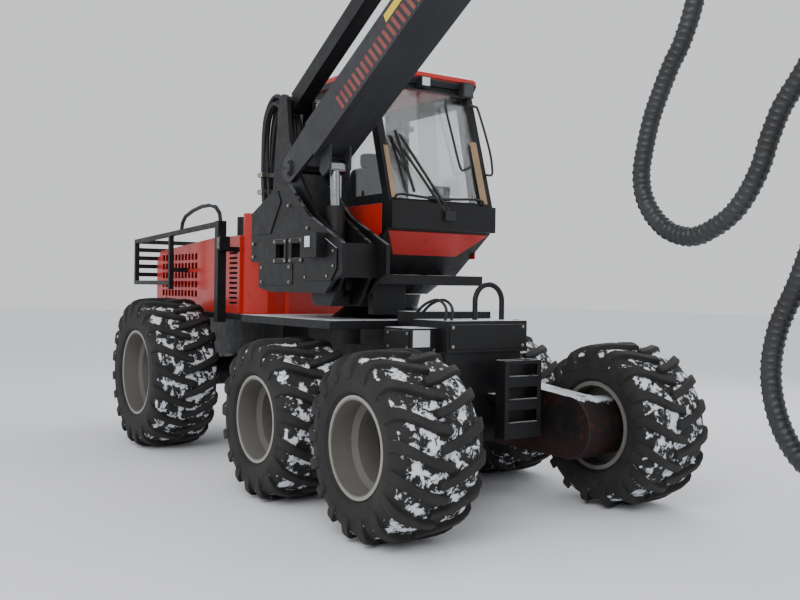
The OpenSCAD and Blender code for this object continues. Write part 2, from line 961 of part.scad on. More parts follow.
module tie_rod() {
    w = 140;
    color(black)
        crane_at(tie_foot, boom_angle)
            difference() {
                union() {
                    box_beam(60, boom_len - 60, w, 150, 150, 10);
                    cross_bar(75, w);
                    translate([boom_len, 0, 0])
                        cross_bar(75, w);
                }
                cross_bar(pin_r + pin_gap, w + 20);
                translate([boom_len, 0, 0])
                    cross_bar(pin_r + pin_gap, w + 20);
            }
}

module rocker() {
    color(black)
        crane_at(knuckle)
            union() {
                for (s = [-1, 1])
                    translate([0, s * (cheek + 15) - 15, 0])
                        slab(0, 30)
                            polygon([
                                [-100, -90], [60, -130], [430, -160], [530, -90], [560, 60], [620, 200], [610, 290],
                                [540, 320], [300, 420], [-180, 690], [-290, 620], [-290, 540]
                            ]);
                cross_bar(pin_r, 2 * cheek + 2);
                for (p = [tie_offset, jib_offset, jib_offset + jib_cyl_offset])
                    translate([p[0], 0, p[1]])
                        cross_bar(pin_r, 2 * cheek + 2);
            }
}

jib_w = 290;
jib_h = 290;
ext_w = 240;
block_low = 60.5;
tip_pin_r = 30;
jib_mouth = jib_len - 260;

// A ring round an upright hose, with a foot reaching to the jib's side
module hose_clamp() {
    difference() {
        union() {
            cylinder(r = hose_d / 2 + 16, h = 60);
            translate([-50, 0, 0])
                cube([100, crane_y - hose_y - jib_w / 2 + 1, 60]);
        }
        translate([0, 0, -5])
            cylinder(r = hose_d / 2 + pin_gap, h = 70);
    }
}

module jib() {
    color(black)
        crane_at(jib_pin, -jib_angle)
            difference() {
                union() {
                    box_beam(180, jib_mouth, jib_w, jib_h, jib_h, beam_wall);
                    for (s = [-1, 1])
                        translate([0, s * (jib_w - 24) / 2 - 12, 0])
                            slab(0, 24)
                                union() {
                                    circle(r = 110);
                                    polygon([[0, -110], [400, -145], [400, 145], [0, 110]]);
                                }
                    cross_bar(70, 2 * cheek - 10);
                    rotate([0, -jib_angle, 0])
                        translate([loop_start[0][0], hose_y - crane_y, loop_start[0][1] - 90])
                            hose_clamp();
                    for (s = [-1, 1])
                        translate([0, s * 87 - 12, 0])
                            slab(0, 24)
                                polygon([
                                    [jib_lug[0] - 150, 140], [jib_lug[0] + 150, 140], [jib_lug[0] + 60, 455],
                                    [jib_lug[0] - 60, 455]
                                ]);
                }
                cross_bar(pin_r + pin_gap, 2 * cheek + 20);
            }
}

module extension() {
    color(charcoal)
        crane_at(jib_pin, -jib_angle)
            difference() {
                union() {
                    box_beam(350, jib_len - 80, ext_w, ext_w, ext_w, 10);
                    translate([jib_mouth + 20, hose_y - crane_y - 65, -block_low])
                        cube([215, crane_y - hose_y + 65 - ext_w / 2 + 1, 110]);
                    translate([jib_len - 100, 0, 0])
                        slab(-ext_w / 2, ext_w)
                            union() {
                                square([100, 120], center = true);
                                translate([100, 0])
                                    circle(r = 70);
                                translate([0, -60])
                                    square([100, 120]);
                            }
                }
                translate([jib_len, 0, 0])
                    difference() {
                        slab(-60, 120)
                            translate([-90, -150])
                                square([200, 300]);
                        cross_bar(tip_pin_r, 140);
                    }
            }
}

// Hydraulic cylinders: a barrel with an eye at its foot, and a rod that slides in it and ends in an eye
module barrel(length, r, bore_r, foot_r, eye_w) {
    difference() {
        union() {
            cross_bar(foot_r, eye_w);
            rotate([0, 90, 0])
                cylinder(r = r, h = length);
        }
        cross_bar(pin_r + pin_gap, eye_w + 20);
        translate([r + 10, 0, 0])
            rotate([0, 90, 0])
                cylinder(r = bore_r, h = length);
    }
}

module rod(reach, length, r, eye_r, eye_w) {
    difference() {
        union() {
            translate([reach, 0, 0])
                cross_bar(eye_r, eye_w);
            translate([reach - length, 0, 0])
                rotate([0, 90, 0])
                    cylinder(r = r, h = length);
        }
        translate([reach, 0, 0])
            cross_bar(pin_r + pin_gap, eye_w + 20);
    }
}

lift_reach = norm(lift_high - lift_low);
lift_slope = angle_of(lift_high - lift_low);
jib_reach = norm(jib_cyl_high - jib_cyl_low);
jib_slope = angle_of(jib_cyl_high - jib_cyl_low);

module lift_barrel() {
    color(black)
        crane_at(lift_low, lift_slope)
            barrel(772, 80, 45 + pin_gap, 70, 180);
}

module lift_rod() {
    color(steel)
        crane_at(lift_low, lift_slope)
            rod(lift_reach, 732, 45, 60, 160);
}

module jib_barrel() {
    color(black)
        crane_at(jib_cyl_low, jib_slope)
            barrel(945, 70, 38 + pin_gap, 70, 150);
}

module jib_rod() {
    color(steel)
        crane_at(jib_cyl_low, jib_slope)
            rod(jib_reach, 940, 38, 58, 140);
}

/* Link, rotator and head */
link_drop = 250;
sway_pin_r = 28;
rotor_r = 50;

module link() {
    color(black)
        translate([tip[0], crane_y, tip[1]])
            difference() {
                union() {
                    cross_bar(58, 110);
                    translate([-35, -35, -link_drop])
                        cube([70, 70, link_drop]);
                    translate([0, 0, -link_drop])
                        rotate([0, 90, 0])
                            cylinder(r = 55, h = 110, center = true);
                }
                cross_bar(tip_pin_r + pin_gap, 130);
                translate([0, 0, -link_drop])
                    rotate([0, 90, 0])
                        cylinder(r = sway_pin_r + pin_gap, h = 130, center = true);
            }
}

rotator_z = tip[1] - link_drop;

module rotator() {
    color(black)
        translate([tip[0], crane_y, rotator_z])
            difference() {
                union() {
                    for (s = [-1, 1])
                        translate([s * 80 - 18, -50, -170])
                            cube([36, 100, 220]);
                    translate([0, 0, -400])
                        cylinder(r = 140, h = 240);
                    rotate([0, 90, 0])
                        cylinder(r = sway_pin_r, h = 180, center = true);
                }
                translate([0, 0, -401])
                    cylinder(r = rotor_r + pin_gap, h = 121);
            }
}

hanger_z = rotator_z - 400 - run_gap;
tilt_z = hanger_z - 560;

module hanger() {
    t = 40;
    color(black)
        translate([tip[0], crane_y, 0])
            union() {
                translate([0, 0, hanger_z - 40])
                    cylinder(r = 130, h = 40);
                translate([0, 0, hanger_z - 10])
                    cylinder(r = rotor_r, h = 110);
                translate([-90, -hanger_w / 2 - t, hanger_z - 110])
                    cube([180, hanger_w + 2 * t, 71]);
                for (s = [-1, 1])
                    translate([0, s * (hanger_w / 2 + t / 2) - t / 2, 0])
                        slab(0, t)
                            polygon([
                                [-90, hanger_z - 45], [-70, tilt_z - 60], [70, tilt_z - 60], [90, hanger_z - 45]
                            ]);
                translate([0, 0, tilt_z])
                    for (s = [-1, 1])
                        translate([0, s * (hanger_w / 2 - 20), 0])
                            cross_bar(pin_r, 60);
            }
}

head_top = tilt_z + 100;
head_low = head_top - head_h;
back_x = 20;
knife_z = head_top - 340;
knife_h = 140;
knife_pin = [65, 150];
arm_z = head_low + 620;
arm_h = 420;
arm_pin = [70, 215];
roller_at = [320, 290];
roller_r = 140;
lug = 30;
head_pin_r = 25;
saw_pin = [-110, 200];
saw_z = head_low + 30;

// Places a piece of the head: its own X points to the tree stem
module in_head(z) {
    translate([tip[0] + head_shift, crane_y, z])
        children();
}

// A pair of ears with a fixed upright pin, reaching forward from the head's back
module ears(p, s, h, reach) {
    for (z = [-lug - run_gap, h + run_gap])
        translate([0, 0, z])
            linear_extrude(lug)
                union() {
                    translate([p[0], s * p[1]])
                        circle(r = reach);
                    translate([back_x - 5, s * p[1] - reach])
                        square([p[0] - back_x + 5, 2 * reach]);
                }
    translate([p[0], s * p[1], -lug])
        cylinder(r = head_pin_r, h = h + 2 * lug);
}

module head_frame() {
    w = hanger_w - 20;
    color(black)
        union() {
            in_head(0)
                difference() {
                    union() {
                        translate([-200, -w / 2, head_low + 120])
                            cube([back_x + 200, w, head_h - 120]);
                        translate([-240, -w / 2 - 180, head_low])
                            cube([back_x + 240, w + 320, 121]);
                        for (s = [-1, 1])
                            translate([-head_shift, s * (w / 2 - 15), tilt_z])
                                cross_bar(85, 30);
                    }
                    translate([-180, -w / 2 + 20, head_low + 140])
                        cube([back_x + 170, w - 40, head_h - 160]);
                    translate([-220, -w / 2 - 160, saw_z - run_gap - 6])
                        cube([500, w + 180, 40]);
                    translate([-head_shift, 0, tilt_z])
                        cross_bar(pin_r + pin_gap, w + 20);
                }
            for (s = [-1, 1]) {
                in_head(knife_z)
                    ears(knife_pin, s, knife_h, 42);
                in_head(arm_z)
                    ears(arm_pin, s, arm_h, 45);
            }
            in_head(head_low + 5)
                translate([saw_pin[0], saw_pin[1], 0])
                    cylinder(r = head_pin_r, h = 110);
        }
}

// A delimbing knife: an eye on the head's pin and a curved blade round the stem
module knife(s) {
    centre = [310, 0];
    inner = 225;
    outer = 265;
    color(steel)
        in_head(knife_z)
            difference() {
                union() {
                    linear_extrude(knife_h)
                        difference() {
                            translate(centre)
                                circle(r = outer, $fn = 96);
                            translate(centre)
                                circle(r = inner, $fn = 96);
                            translate([-600, s > 0 ? -1200 : -12])
                                square([2000, 1212]);
                            translate([back_x - 1000, -600])
                                square([1000 + 60, 1200]);
                        }
                    translate([knife_pin[0], s * knife_pin[1], 0])
                        cylinder(r = 42, h = knife_h);
                }
                translate([knife_pin[0], s * knife_pin[1], -5])
                    cylinder(r = head_pin_r + pin_gap, h = knife_h + 10);
            }
}

// A feed arm: an eye on the head's pin and two plates that hold the roller's shaft
module feed_arm(s) {
    d = [roller_at[0] - arm_pin[0], roller_at[1] - arm_pin[1]];
    color(black)
        in_head(arm_z)
            translate([arm_pin[0], s * arm_pin[1], 0])
                difference() {
                    union() {
                        cylinder(r = 45, h = arm_h);
                        for (z = [0, arm_h - 30])
                            translate([0, 0, z])
                                linear_extrude(30)
                                    rotate(s * angle_of(d))
                                        translate([0, -45])
                                            square([norm(d) + 40, 90]);
                        translate([d[0], s * d[1], 10])
                            cylinder(r = head_pin_r, h = arm_h - 20);
                    }
                    translate([0, 0, -5])
                        cylinder(r = head_pin_r + pin_gap, h = arm_h + 10);
                }
}

module feed_roller(s) {
    long = arm_h - 60 - 2 * run_gap;
    shell = 25;
    bore = head_pin_r + pin_gap;
    color(steel)
        in_head(arm_z + 30 + run_gap)
            translate([roller_at[0], s * roller_at[1], 0])
                rotate_extrude()
                    polygon([
                        [bore, 0], [bore + 20, 0], [bore + 20, long - shell], [roller_r - shell, long - shell],
                        [roller_r - shell, 0], [roller_r, 0], [roller_r, long], [bore, long]
                    ]);
}

// The saw's guide bar, parked across the head behind the stem
module saw_bar() {
    color(steel)
        in_head(saw_z)
            translate([saw_pin[0], saw_pin[1], 0])
                difference() {
                    linear_extrude(12)
                        union() {
                            circle(r = 55);
                            translate([-45, -560])
                                square([90, 560]);
                            translate([0, -560])
                                circle(r = 45);
                        }
                    translate([0, 0, -5])
                        cylinder(r = head_pin_r + pin_gap, h = 30);
                }
}

/* Hoses */
hose_d = 100;
hose_y = -1000;

// The loop's route, chosen by hand: first from the jib's pin, then from the crane's tip
loop_start = [
    [424.5, -368.2], [424.5, -548.2], [422.5, -798.2], [414.5, -1048.2], [389.5, -1348.2], [334.5, -1628.2], [264.5, -1808.2],
    [194.5, -1918.2], [134.5, -2033.2], [74.5, -2168.2], [29.5, -2338.2], [14.5, -2448.2], [36.5, -2563.2], [104.5, -2668.2],
    [209.5, -2748.2], [344.5, -2778.2], [464.5, -2743.2], [574.5, -2678.2], [654.5, -2588.2], [719.5, -2473.2], [764.5, -2348.2],
    [824.5, -2218.2]
];
loop_end = [
    [-858.5, -762.2], [-748.5, -612.2], [-608.5, -442.2], [-468.5, -272.2], [-338.5, -112.2], [-224.5, 17.8], [-188.5, 65.8]
];
loop_route = concat([for (p = loop_start) jib_pin + p], [for (p = loop_end) tip + p]);
// The route of the hose down to the head, from the crane's tip
head_run = [
    [-92.5, -6.7], [-128.5, -54.7], [-248.5, -242.2], [-378.5, -502.2], [-508.5, -782.2], [-638.5, -1082.2], [-748.5, -1382.2],
    [-848.5, -1652.2], [-948.5, -1872.2], [-978.5, -2092.2], [-918.5, -2312.2], [-788.5, -2462.2], [-598.5, -2512.2], [-408.5, -2462.2],
    [-234.6, -2462.2]
];
head_route = [for (p = head_run) tip + p];

// Direction of a route at one of its points
function heading(route, i) =
    let (a = route[max(i - 1, 0)], b = route[min(i + 1, len(route) - 1)]) (b - a) / norm(b - a);

// A round tube swept along a route in the X-Z plane
module tube(route, y, d, sides) {
    n = len(route);
    points = [
        for (i = [0:n - 1])
            let (h = heading(route, i))
                for (k = [0:sides - 1])
                    let (a = 360 * k / sides, out = cos(a) * d / 2)
                        [route[i][0] - h[1] * out, y + sin(a) * d / 2, route[i][1] + h[0] * out]
    ];
    faces = concat(
        [[for (k = [sides - 1:-1:0]) k]],
        [for (i = [0:n - 2]) for (k = [0:sides - 1])
            let (a = i * sides + k, b = i * sides + (k + 1) % sides) [a, b, b + sides, a + sides]],
        [[for (k = [0:sides - 1]) (n - 1) * sides + k]]
    );
    polyhedron(points, faces, convexity = 4);
}

module hose_loop() {
    color(black)
        tube(loop_route, hose_y, hose_d, 10);
}

module head_hose() {
    color(black)
        tube(head_route, hose_y, hose_d, 10);
}

placed() front_frame();
placed() nose_box();
placed() front_steps();
placed() front_deck();
placed() bogie_axle();
placed() bogie(-1);  // bogie_right
placed() bogie(1);  // bogie_left
placed() pedestal();
placed() tyre(front_right);  // tyre_front_right
placed() rim(front_right);  // rim_front_right
placed() tyre(front_left);  // tyre_front_left
placed() rim(front_left);  // rim_front_left
placed() tyre(middle_right);  // tyre_middle_right
placed() rim(middle_right);  // rim_middle_right
placed() tyre(middle_left);  // tyre_middle_left
placed() rim(middle_left);  // rim_middle_left
placed() tyre(rear_right);  // tyre_rear_right
placed() rim(rear_right);  // rim_rear_right
placed() tyre(rear_left);  // tyre_rear_left
placed() rim(rear_left);  // rim_rear_left
placed() rear_frame();
placed() rear_axle();
placed() bulkhead();
placed() engine();
placed() exhaust();
placed() hood();
placed() hood_guard();
placed() platform();
placed() crane_base();
placed() cab_shell();
placed() cab_roof();
placed() cab_glass();
placed() seat();
placed() cab_door();
placed() door_glass();
placed() boom();
placed() tie_rod();
placed() rocker();
placed() jib();
placed() extension();
placed() lift_barrel();
placed() lift_rod();
placed() jib_barrel();
placed() jib_rod();
placed() link();
placed() rotator();
placed() hanger();
placed() head_frame();
placed() knife(-1);  // knife_right
placed() knife(1);  // knife_left
placed() feed_arm(-1);  // feed_arm_right
placed() feed_arm(1);  // feed_arm_left
placed() feed_roller(-1);  // feed_roller_right
placed() feed_roller(1);  // feed_roller_left
placed() saw_bar();
placed() hose_loop();
placed() head_hose();
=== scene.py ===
"""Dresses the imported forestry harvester: paint, tyres, cab interior, hoses and trim.

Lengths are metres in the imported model's frame: X forward, Y to the machine's left, Z up.
"""

import json
import math

import bmesh
import bpy
from mathutils import Matrix, Vector

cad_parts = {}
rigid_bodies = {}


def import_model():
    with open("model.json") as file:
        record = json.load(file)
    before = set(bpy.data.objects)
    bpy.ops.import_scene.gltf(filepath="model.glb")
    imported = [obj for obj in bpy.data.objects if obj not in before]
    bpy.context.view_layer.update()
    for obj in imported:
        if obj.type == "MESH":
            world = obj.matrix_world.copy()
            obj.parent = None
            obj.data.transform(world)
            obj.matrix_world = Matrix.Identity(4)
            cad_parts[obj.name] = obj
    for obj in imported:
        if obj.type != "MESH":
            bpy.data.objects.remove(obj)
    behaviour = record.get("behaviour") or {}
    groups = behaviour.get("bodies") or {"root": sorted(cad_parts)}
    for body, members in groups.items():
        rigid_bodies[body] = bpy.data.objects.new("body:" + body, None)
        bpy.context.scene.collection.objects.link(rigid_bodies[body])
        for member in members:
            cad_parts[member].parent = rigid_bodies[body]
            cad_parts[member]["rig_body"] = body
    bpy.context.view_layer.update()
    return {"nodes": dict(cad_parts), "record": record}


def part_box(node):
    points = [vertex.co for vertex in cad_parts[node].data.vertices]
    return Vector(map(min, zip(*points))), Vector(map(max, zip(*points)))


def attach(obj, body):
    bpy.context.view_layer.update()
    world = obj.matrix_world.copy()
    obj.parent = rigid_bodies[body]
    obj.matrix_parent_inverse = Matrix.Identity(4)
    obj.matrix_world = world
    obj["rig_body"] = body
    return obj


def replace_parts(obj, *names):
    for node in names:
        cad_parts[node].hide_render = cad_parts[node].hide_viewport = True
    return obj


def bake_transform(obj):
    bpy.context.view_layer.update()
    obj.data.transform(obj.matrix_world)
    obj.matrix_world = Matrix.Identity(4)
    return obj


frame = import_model()
MM = 0.001


def middle(node):
    """The middle of a CAD node's box."""
    low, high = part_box(node)
    return (Vector(low) + Vector(high)) / 2


# The front bogie's pivot: the machine's sizes are given from here
BOGIE_X = (middle("tyre_front_right").x + middle("tyre_middle_right").x) / 2


def at(x, y, z):
    """A point given from the bogie's pivot, on the ground, in the machine's middle."""
    return Vector((BOGIE_X + x, y, z))


# Camera
PHOTO_WIDTH = 800
FOCAL_PIXELS = 948.3
SENSOR_MM = 36.0
camera_turn = math.radians(146.26)
camera_rise = math.radians(-0.71)
camera_roll = math.radians(0.81)
ahead = math.cos(camera_rise)
look = Vector((math.cos(camera_turn) * ahead, math.sin(camera_turn) * ahead, math.sin(camera_rise)))
level = look.cross(Vector((0, 0, 1))).normalized()
upright = level.cross(look)
right = level * math.cos(camera_roll) + upright * math.sin(camera_roll)
up = upright * math.cos(camera_roll) - level * math.sin(camera_roll)

camera = bpy.data.objects.new("camera", bpy.data.cameras.new("camera"))
camera.data.sensor_width = SENSOR_MM
camera.data.lens = FOCAL_PIXELS * SENSOR_MM / PHOTO_WIDTH
camera.data.clip_end = 200
camera_axes = Matrix((right, up, -look)).transposed().to_4x4()
camera.matrix_world = Matrix.Translation(at(6.278, -4.75, 1.749)) @ camera_axes
bpy.context.scene.collection.objects.link(camera)
bpy.context.scene.camera = camera


# Materials
def linear(sheet):
    """A six-figure sRGB hex colour as linear RGBA."""
    parts = [int(sheet[i:i + 2], 16) / 255 for i in (0, 2, 4)]
    return (*[c / 12.92 if c <= 0.04045 else ((c + 0.055) / 1.055) ** 2.4 for c in parts], 1)


def add(tree, kind, inputs=(), **settings):
    """Adds one node, with its properties, and a value or a feeding socket for each input."""
    made = tree.nodes.new(kind)
    for name, value in settings.items():
        setattr(made, name, value)
    for name, value in dict(inputs).items():
        if isinstance(value, bpy.types.NodeSocket):
            tree.links.new(value, made.inputs[name])
        else:
            made.inputs[name].default_value = value
    return made


def blank(name):
    """An empty node material: its tree, ready for nodes."""
    material = bpy.data.materials.new(name)
    material.use_nodes = True
    material.node_tree.nodes.clear()
    return material


SNOW = "e6ebf1"


def coated_steel(
    name, colour, aged, roughness, grain_mm, chips="2a1a16", chip_amount=0.3, snow=0.0, clear_coat=0.0
):
    """Sprayed paint on plate: slow fading, road film, chipped edges and blown snow on what faces up."""
    material = blank(name)
    tree = material.node_tree
    place = add(tree, "ShaderNodeTexCoord")
    metres = place.outputs["Object"]
    fade = add(tree, "ShaderNodeTexNoise", {"Vector": metres, "Scale": 1.3, "Detail": 4, "Roughness": 0.55})
    film = add(tree, "ShaderNodeTexNoise", {"Vector": metres, "Scale": 9, "Detail": 8, "Roughness": 0.7})
    peel = add(tree, "ShaderNodeTexNoise", {"Vector": metres, "Scale": 1 / (grain_mm * MM), "Detail": 2})
    aged_where = add(
        tree, "ShaderNodeMapRange", {"Value": fade.outputs["Fac"], "From Min": 0.35, "From Max": 0.75}
    )
    paint = add(
        tree, "ShaderNodeMix", {0: aged_where.outputs[0], 6: linear(colour), 7: linear(aged)},
        data_type="RGBA"
    )
    shape = add(tree, "ShaderNodeNewGeometry")
    edge = add(
        tree, "ShaderNodeMath", {0: shape.outputs["Pointiness"], 1: film.outputs["Fac"]}, operation="ADD"
    )
    chipped = add(
        tree, "ShaderNodeMapRange",
        {"Value": edge.outputs[0], "From Min": 1.12, "From Max": 1.22, "To Max": chip_amount}
    )
    worn = add(
        tree, "ShaderNodeMix", {0: chipped.outputs[0], 6: paint.outputs[2], 7: linear(chips)},
        data_type="RGBA"
    )
    facing = add(tree, "ShaderNodeSeparateXYZ", {0: place.outputs["Normal"]})
    flat_top = add(
        tree, "ShaderNodeMapRange",
        {"Value": facing.outputs["Z"], "From Min": 0.55, "From Max": 0.95, "To Max": 0.62}
    )
    lying = add(tree, "ShaderNodeMath", {0: flat_top.outputs[0], 1: film.outputs["Fac"]}, operation="ADD")
    settled = add(
        tree, "ShaderNodeMapRange",
        {"Value": lying.outputs[0], "From Min": 0.98, "From Max": 1.06, "To Max": snow}
    )
    dusted = add(
        tree, "ShaderNodeMix", {0: settled.outputs[0], 6: worn.outputs[2], 7: linear(SNOW)},
        data_type="RGBA"
    )
    gloss = add(
        tree, "ShaderNodeMapRange",
        {
            "Value": film.outputs["Fac"], "From Min": 0.3, "From Max": 0.7, "To Min": roughness - 0.08,
            "To Max": roughness + 0.14
        }
    )
    bumpy = add(
        tree, "ShaderNodeBump", {"Height": peel.outputs["Fac"], "Strength": 0.12, "Distance": 0.4 * MM}
    )
    surface = add(tree, "ShaderNodeBsdfPrincipled", {
        "Base Color": dusted.outputs[2], "Roughness": gloss.outputs[0], "Normal": bumpy.outputs[0],
        "IOR": 1.4,
        "Coat Weight": clear_coat, "Coat Roughness": 0.12,
    })
    add(tree, "ShaderNodeOutputMaterial", {"Surface": surface.outputs[0]})
    return material


def plain_metal(name, colour, roughness, brushed_mm, marks="3b342e", marks_amount=0.4):
    """Machined or ground steel: fine tool lines, with grease and old sap in the low spots."""
    material = blank(name)
    tree = material.node_tree
    place = add(tree, "ShaderNodeTexCoord")
    stretch = add(tree, "ShaderNodeMapping", {"Vector": place.outputs["Object"], "Scale": (1, 1, 12)})
    lines = add(
        tree, "ShaderNodeTexNoise",
        {"Vector": stretch.outputs[0], "Scale": 1 / (brushed_mm * MM), "Detail": 3}
    )
    grease = add(
        tree, "ShaderNodeTexNoise",
        {"Vector": place.outputs["Object"], "Scale": 7, "Detail": 9, "Roughness": 0.7}
    )
    grimy = add(
        tree, "ShaderNodeMapRange",
        {"Value": grease.outputs["Fac"], "From Min": 0.5, "From Max": 0.62, "To Max": marks_amount}
    )
    tone = add(
        tree, "ShaderNodeMix", {0: grimy.outputs[0], 6: linear(colour), 7: linear(marks)}, data_type="RGBA"
    )
    rough = add(
        tree, "ShaderNodeMapRange",
        {"Value": lines.outputs["Fac"], "To Min": roughness * 0.8, "To Max": roughness * 1.3}
    )
    bumpy = add(
        tree, "ShaderNodeBump", {"Height": lines.outputs["Fac"], "Strength": 0.1, "Distance": 0.2 * MM}
    )
    surface = add(tree, "ShaderNodeBsdfPrincipled", {
        "Base Color": tone.outputs[2], "Metallic": 1.0, "Roughness": rough.outputs[0],
        "Normal": bumpy.outputs[0],
    })
    add(tree, "ShaderNodeOutputMaterial", {"Surface": surface.outputs[0]})
    return material


def moulded(name, colour, worn, roughness, grain_mm, relief_mm=0.3):
    """Moulded rubber, plastic or cloth skin: a fine grain and rubbed, dusty patches."""
    material = blank(name)
    tree = material.node_tree
    place = add(tree, "ShaderNodeTexCoord")
    grain = add(
        tree, "ShaderNodeTexNoise",
        {"Vector": place.outputs["Object"], "Scale": 1 / (grain_mm * MM), "Detail": 3}
    )
    rubbed = add(
        tree, "ShaderNodeTexNoise",
        {"Vector": place.outputs["Object"], "Scale": 5, "Detail": 7, "Roughness": 0.65}
    )
    patch = add(
        tree, "ShaderNodeMapRange", {"Value": rubbed.outputs["Fac"], "From Min": 0.4, "From Max": 0.7}
    )
    tone = add(
        tree, "ShaderNodeMix", {0: patch.outputs[0], 6: linear(colour), 7: linear(worn)}, data_type="RGBA"
    )
    bumpy = add(
        tree, "ShaderNodeBump",
        {"Height": grain.outputs["Fac"], "Strength": 0.25, "Distance": relief_mm * MM}
    )
    surface = add(tree, "ShaderNodeBsdfPrincipled", {
        "Base Color": tone.outputs[2], "Roughness": roughness, "Normal": bumpy.outputs[0], "IOR": 1.52,
    })
    add(tree, "ShaderNodeOutputMaterial", {"Surface": surface.outputs[0]})
    return material


def tread(name):
    """Vulcanised rubber: matt black lugs, dusty side walls, and snow packed where the mesh holds it."""
    material = blank(name)
    tree = material.node_tree
    place = add(tree, "ShaderNodeTexCoord")
    held = add(tree, "ShaderNodeAttribute", attribute_name="snow_held")
    clumps = add(
        tree, "ShaderNodeTexNoise",
        {"Vector": place.outputs["Object"], "Scale": 11, "Detail": 9, "Roughness": 0.68, "Distortion": 0.3}
    )
    skin = add(tree, "ShaderNodeTexNoise", {"Vector": place.outputs["Object"], "Scale": 220, "Detail": 3})
    dust = add(
        tree, "ShaderNodeTexNoise",
        {"Vector": place.outputs["Object"], "Scale": 4, "Detail": 8, "Roughness": 0.7}
    )
    dusty = add(
        tree, "ShaderNodeMapRange", {"Value": dust.outputs["Fac"], "From Min": 0.35, "From Max": 0.7}
    )
    rubber = add(
        tree, "ShaderNodeMix", {0: dusty.outputs[0], 6: linear("121111"), 7: linear("282624")},
        data_type="RGBA"
    )
    spread = add(
        tree, "ShaderNodeMapRange",
        {"Value": clumps.outputs["Fac"], "From Min": 0.2, "From Max": 0.8, "To Min": -0.62, "To Max": 0.62}
    )
    total = add(tree, "ShaderNodeMath", {0: held.outputs["Fac"], 1: spread.outputs[0]}, operation="ADD")
    snowy = add(
        tree, "ShaderNodeMapRange",
        {"Value": total.outputs[0], "From Min": 0.71, "From Max": 0.79, "To Max": 0.95}
    )
    tone = add(
        tree, "ShaderNodeMix", {0: snowy.outputs[0], 6: rubber.outputs[2], 7: linear(SNOW)},
        data_type="RGBA"
    )
    packed = add(tree, "ShaderNodeBump", {"Height": snowy.outputs[0], "Strength": 0.6, "Distance": 6 * MM})
    bumpy = add(
        tree, "ShaderNodeBump",
        {"Height": skin.outputs["Fac"], "Strength": 0.3, "Distance": 0.6 * MM, "Normal": packed.outputs[0]}
    )
    surface = add(
        tree, "ShaderNodeBsdfPrincipled",
        {"Base Color": tone.outputs[2], "Roughness": 0.82, "Normal": bumpy.outputs[0], "IOR": 1.52}
    )
    add(tree, "ShaderNodeOutputMaterial", {"Surface": surface.outputs[0]})
    return material


def pane(name, tint, roughness, cover):
    """Float or laminated glass with a little tint; smears and frost leave a faint bloom."""
    material = blank(name)
    tree = material.node_tree
    place = add(tree, "ShaderNodeTexCoord")
    smear = add(
        tree, "ShaderNodeTexNoise",
        {"Vector": place.outputs["Object"], "Scale": 6, "Detail": 8, "Roughness": 0.7}
    )
    bloom = add(
        tree, "ShaderNodeMapRange",
        {
            "Value": smear.outputs["Fac"], "From Min": 0.35, "From Max": 0.8, "To Min": roughness,
            "To Max": roughness + 0.08
        }
    )
    clear = add(tree, "ShaderNodeBsdfPrincipled", {
        "Base Color": linear(tint), "Roughness": bloom.outputs[0], "IOR": 1.5, "Transmission Weight": 1.0,
        "Alpha": cover,
    })
    add(tree, "ShaderNodeOutputMaterial", {"Surface": clear.outputs[0]})
    return material


# Two-pack paint sprayed over welded plate: nearly black, satin, thinly covered with road film
chassis_paint = coated_steel("sprayed_black_chassis_paint", "0c0c0e", "131416", 0.46, 3, snow=0.9)
# The same paint a shade lighter, sprayed on the boom's plates: even, dull charcoal
boom_paint = coated_steel(
    "sprayed_charcoal_boom_paint", "26272b", "2f3035", 0.45, 3, chips="1b1b1d", snow=0.5
)
# Baked top coat on folded sheet: strong warm red with a soft gloss
panel_paint = coated_steel(
    "baked_red_panel_enamel", "b91d16", "c32a1f", 0.33, 4, chips="5c120d", snow=0.9, clear_coat=0.3
)
# Zinc-rich silver paint on pressed wheel discs: grey, slightly gritty, dulled by slush
rim_paint = coated_steel("sprayed_silver_rim_paint", "6f6d69", "5c5853", 0.48, 2, chips="4a3b2e", snow=0.0)
# The same silver, paler, on each rim's flange
flange_paint = coated_steel(
    "pale_silver_flange_paint", "9b9890", "827f78", 0.45, 2, chips="5f4a38", snow=0.0
)
# Old red primer showing through black paint on the left bogie beam
worn_primer = coated_steel(
    "black_paint_worn_to_primer", "1a1718", "4a1c18", 0.5, 3, chips="6b2a20", chip_amount=0.6, snow=0.95
)
tread_rubber = tread("vulcanised_tyre_rubber")
# Extruded hose cover: black, faintly shiny
hose_rubber = moulded("extruded_hose_rubber", "101011", "1b1b1c", 0.55, 2)
# Ribbed plastic spiral guard wound round a hose: black, satin
guard_plastic = moulded("extruded_spiral_guard_plastic", "141415", "242528", 0.48, 1.5)
# Injection moulded cab trim: charcoal with a leather grain
cab_plastic = moulded("moulded_cab_trim_plastic", "1c1d1f", "292a2d", 0.6, 2.5)
# Moulded tan lining of the cab's pillars, faded by the sun
tan_lining = moulded("moulded_tan_pillar_lining", "a08566", "8d7457", 0.65, 2.5)
# Hard chrome on ground rod: mirror bright
hard_chrome = plain_metal("ground_hard_chrome", "9a9da0", 0.12, 1.0, marks_amount=0.15)
# Zinc plated fittings and bolts: pale and slightly yellow
zinc_plate = plain_metal("zinc_plated_fitting_steel", "a7a59c", 0.32, 1.0)
# Wear steel rubbed bright by bark
wear_steel = plain_metal("rubbed_wear_steel", "8b8884", 0.38, 1.5)
# Cast block, painted once and oily since
cast_block = plain_metal("oily_cast_iron", "3a3b3c", 0.6, 3, marks="17150f", marks_amount=0.8)
# Laminated cab glass: nearly clear, smeared
cab_pane = pane("laminated_tinted_glass", "b4bcbf", 0.02, 0.27)
# Prismed lamp glass over a reflector, painted near white: a painted reflection of light in the reflector
lamp_glass = moulded("prismed_lamp_glass_painted_reflection", "d8dde2", "c3cad0", 0.12, 6, 0.8)
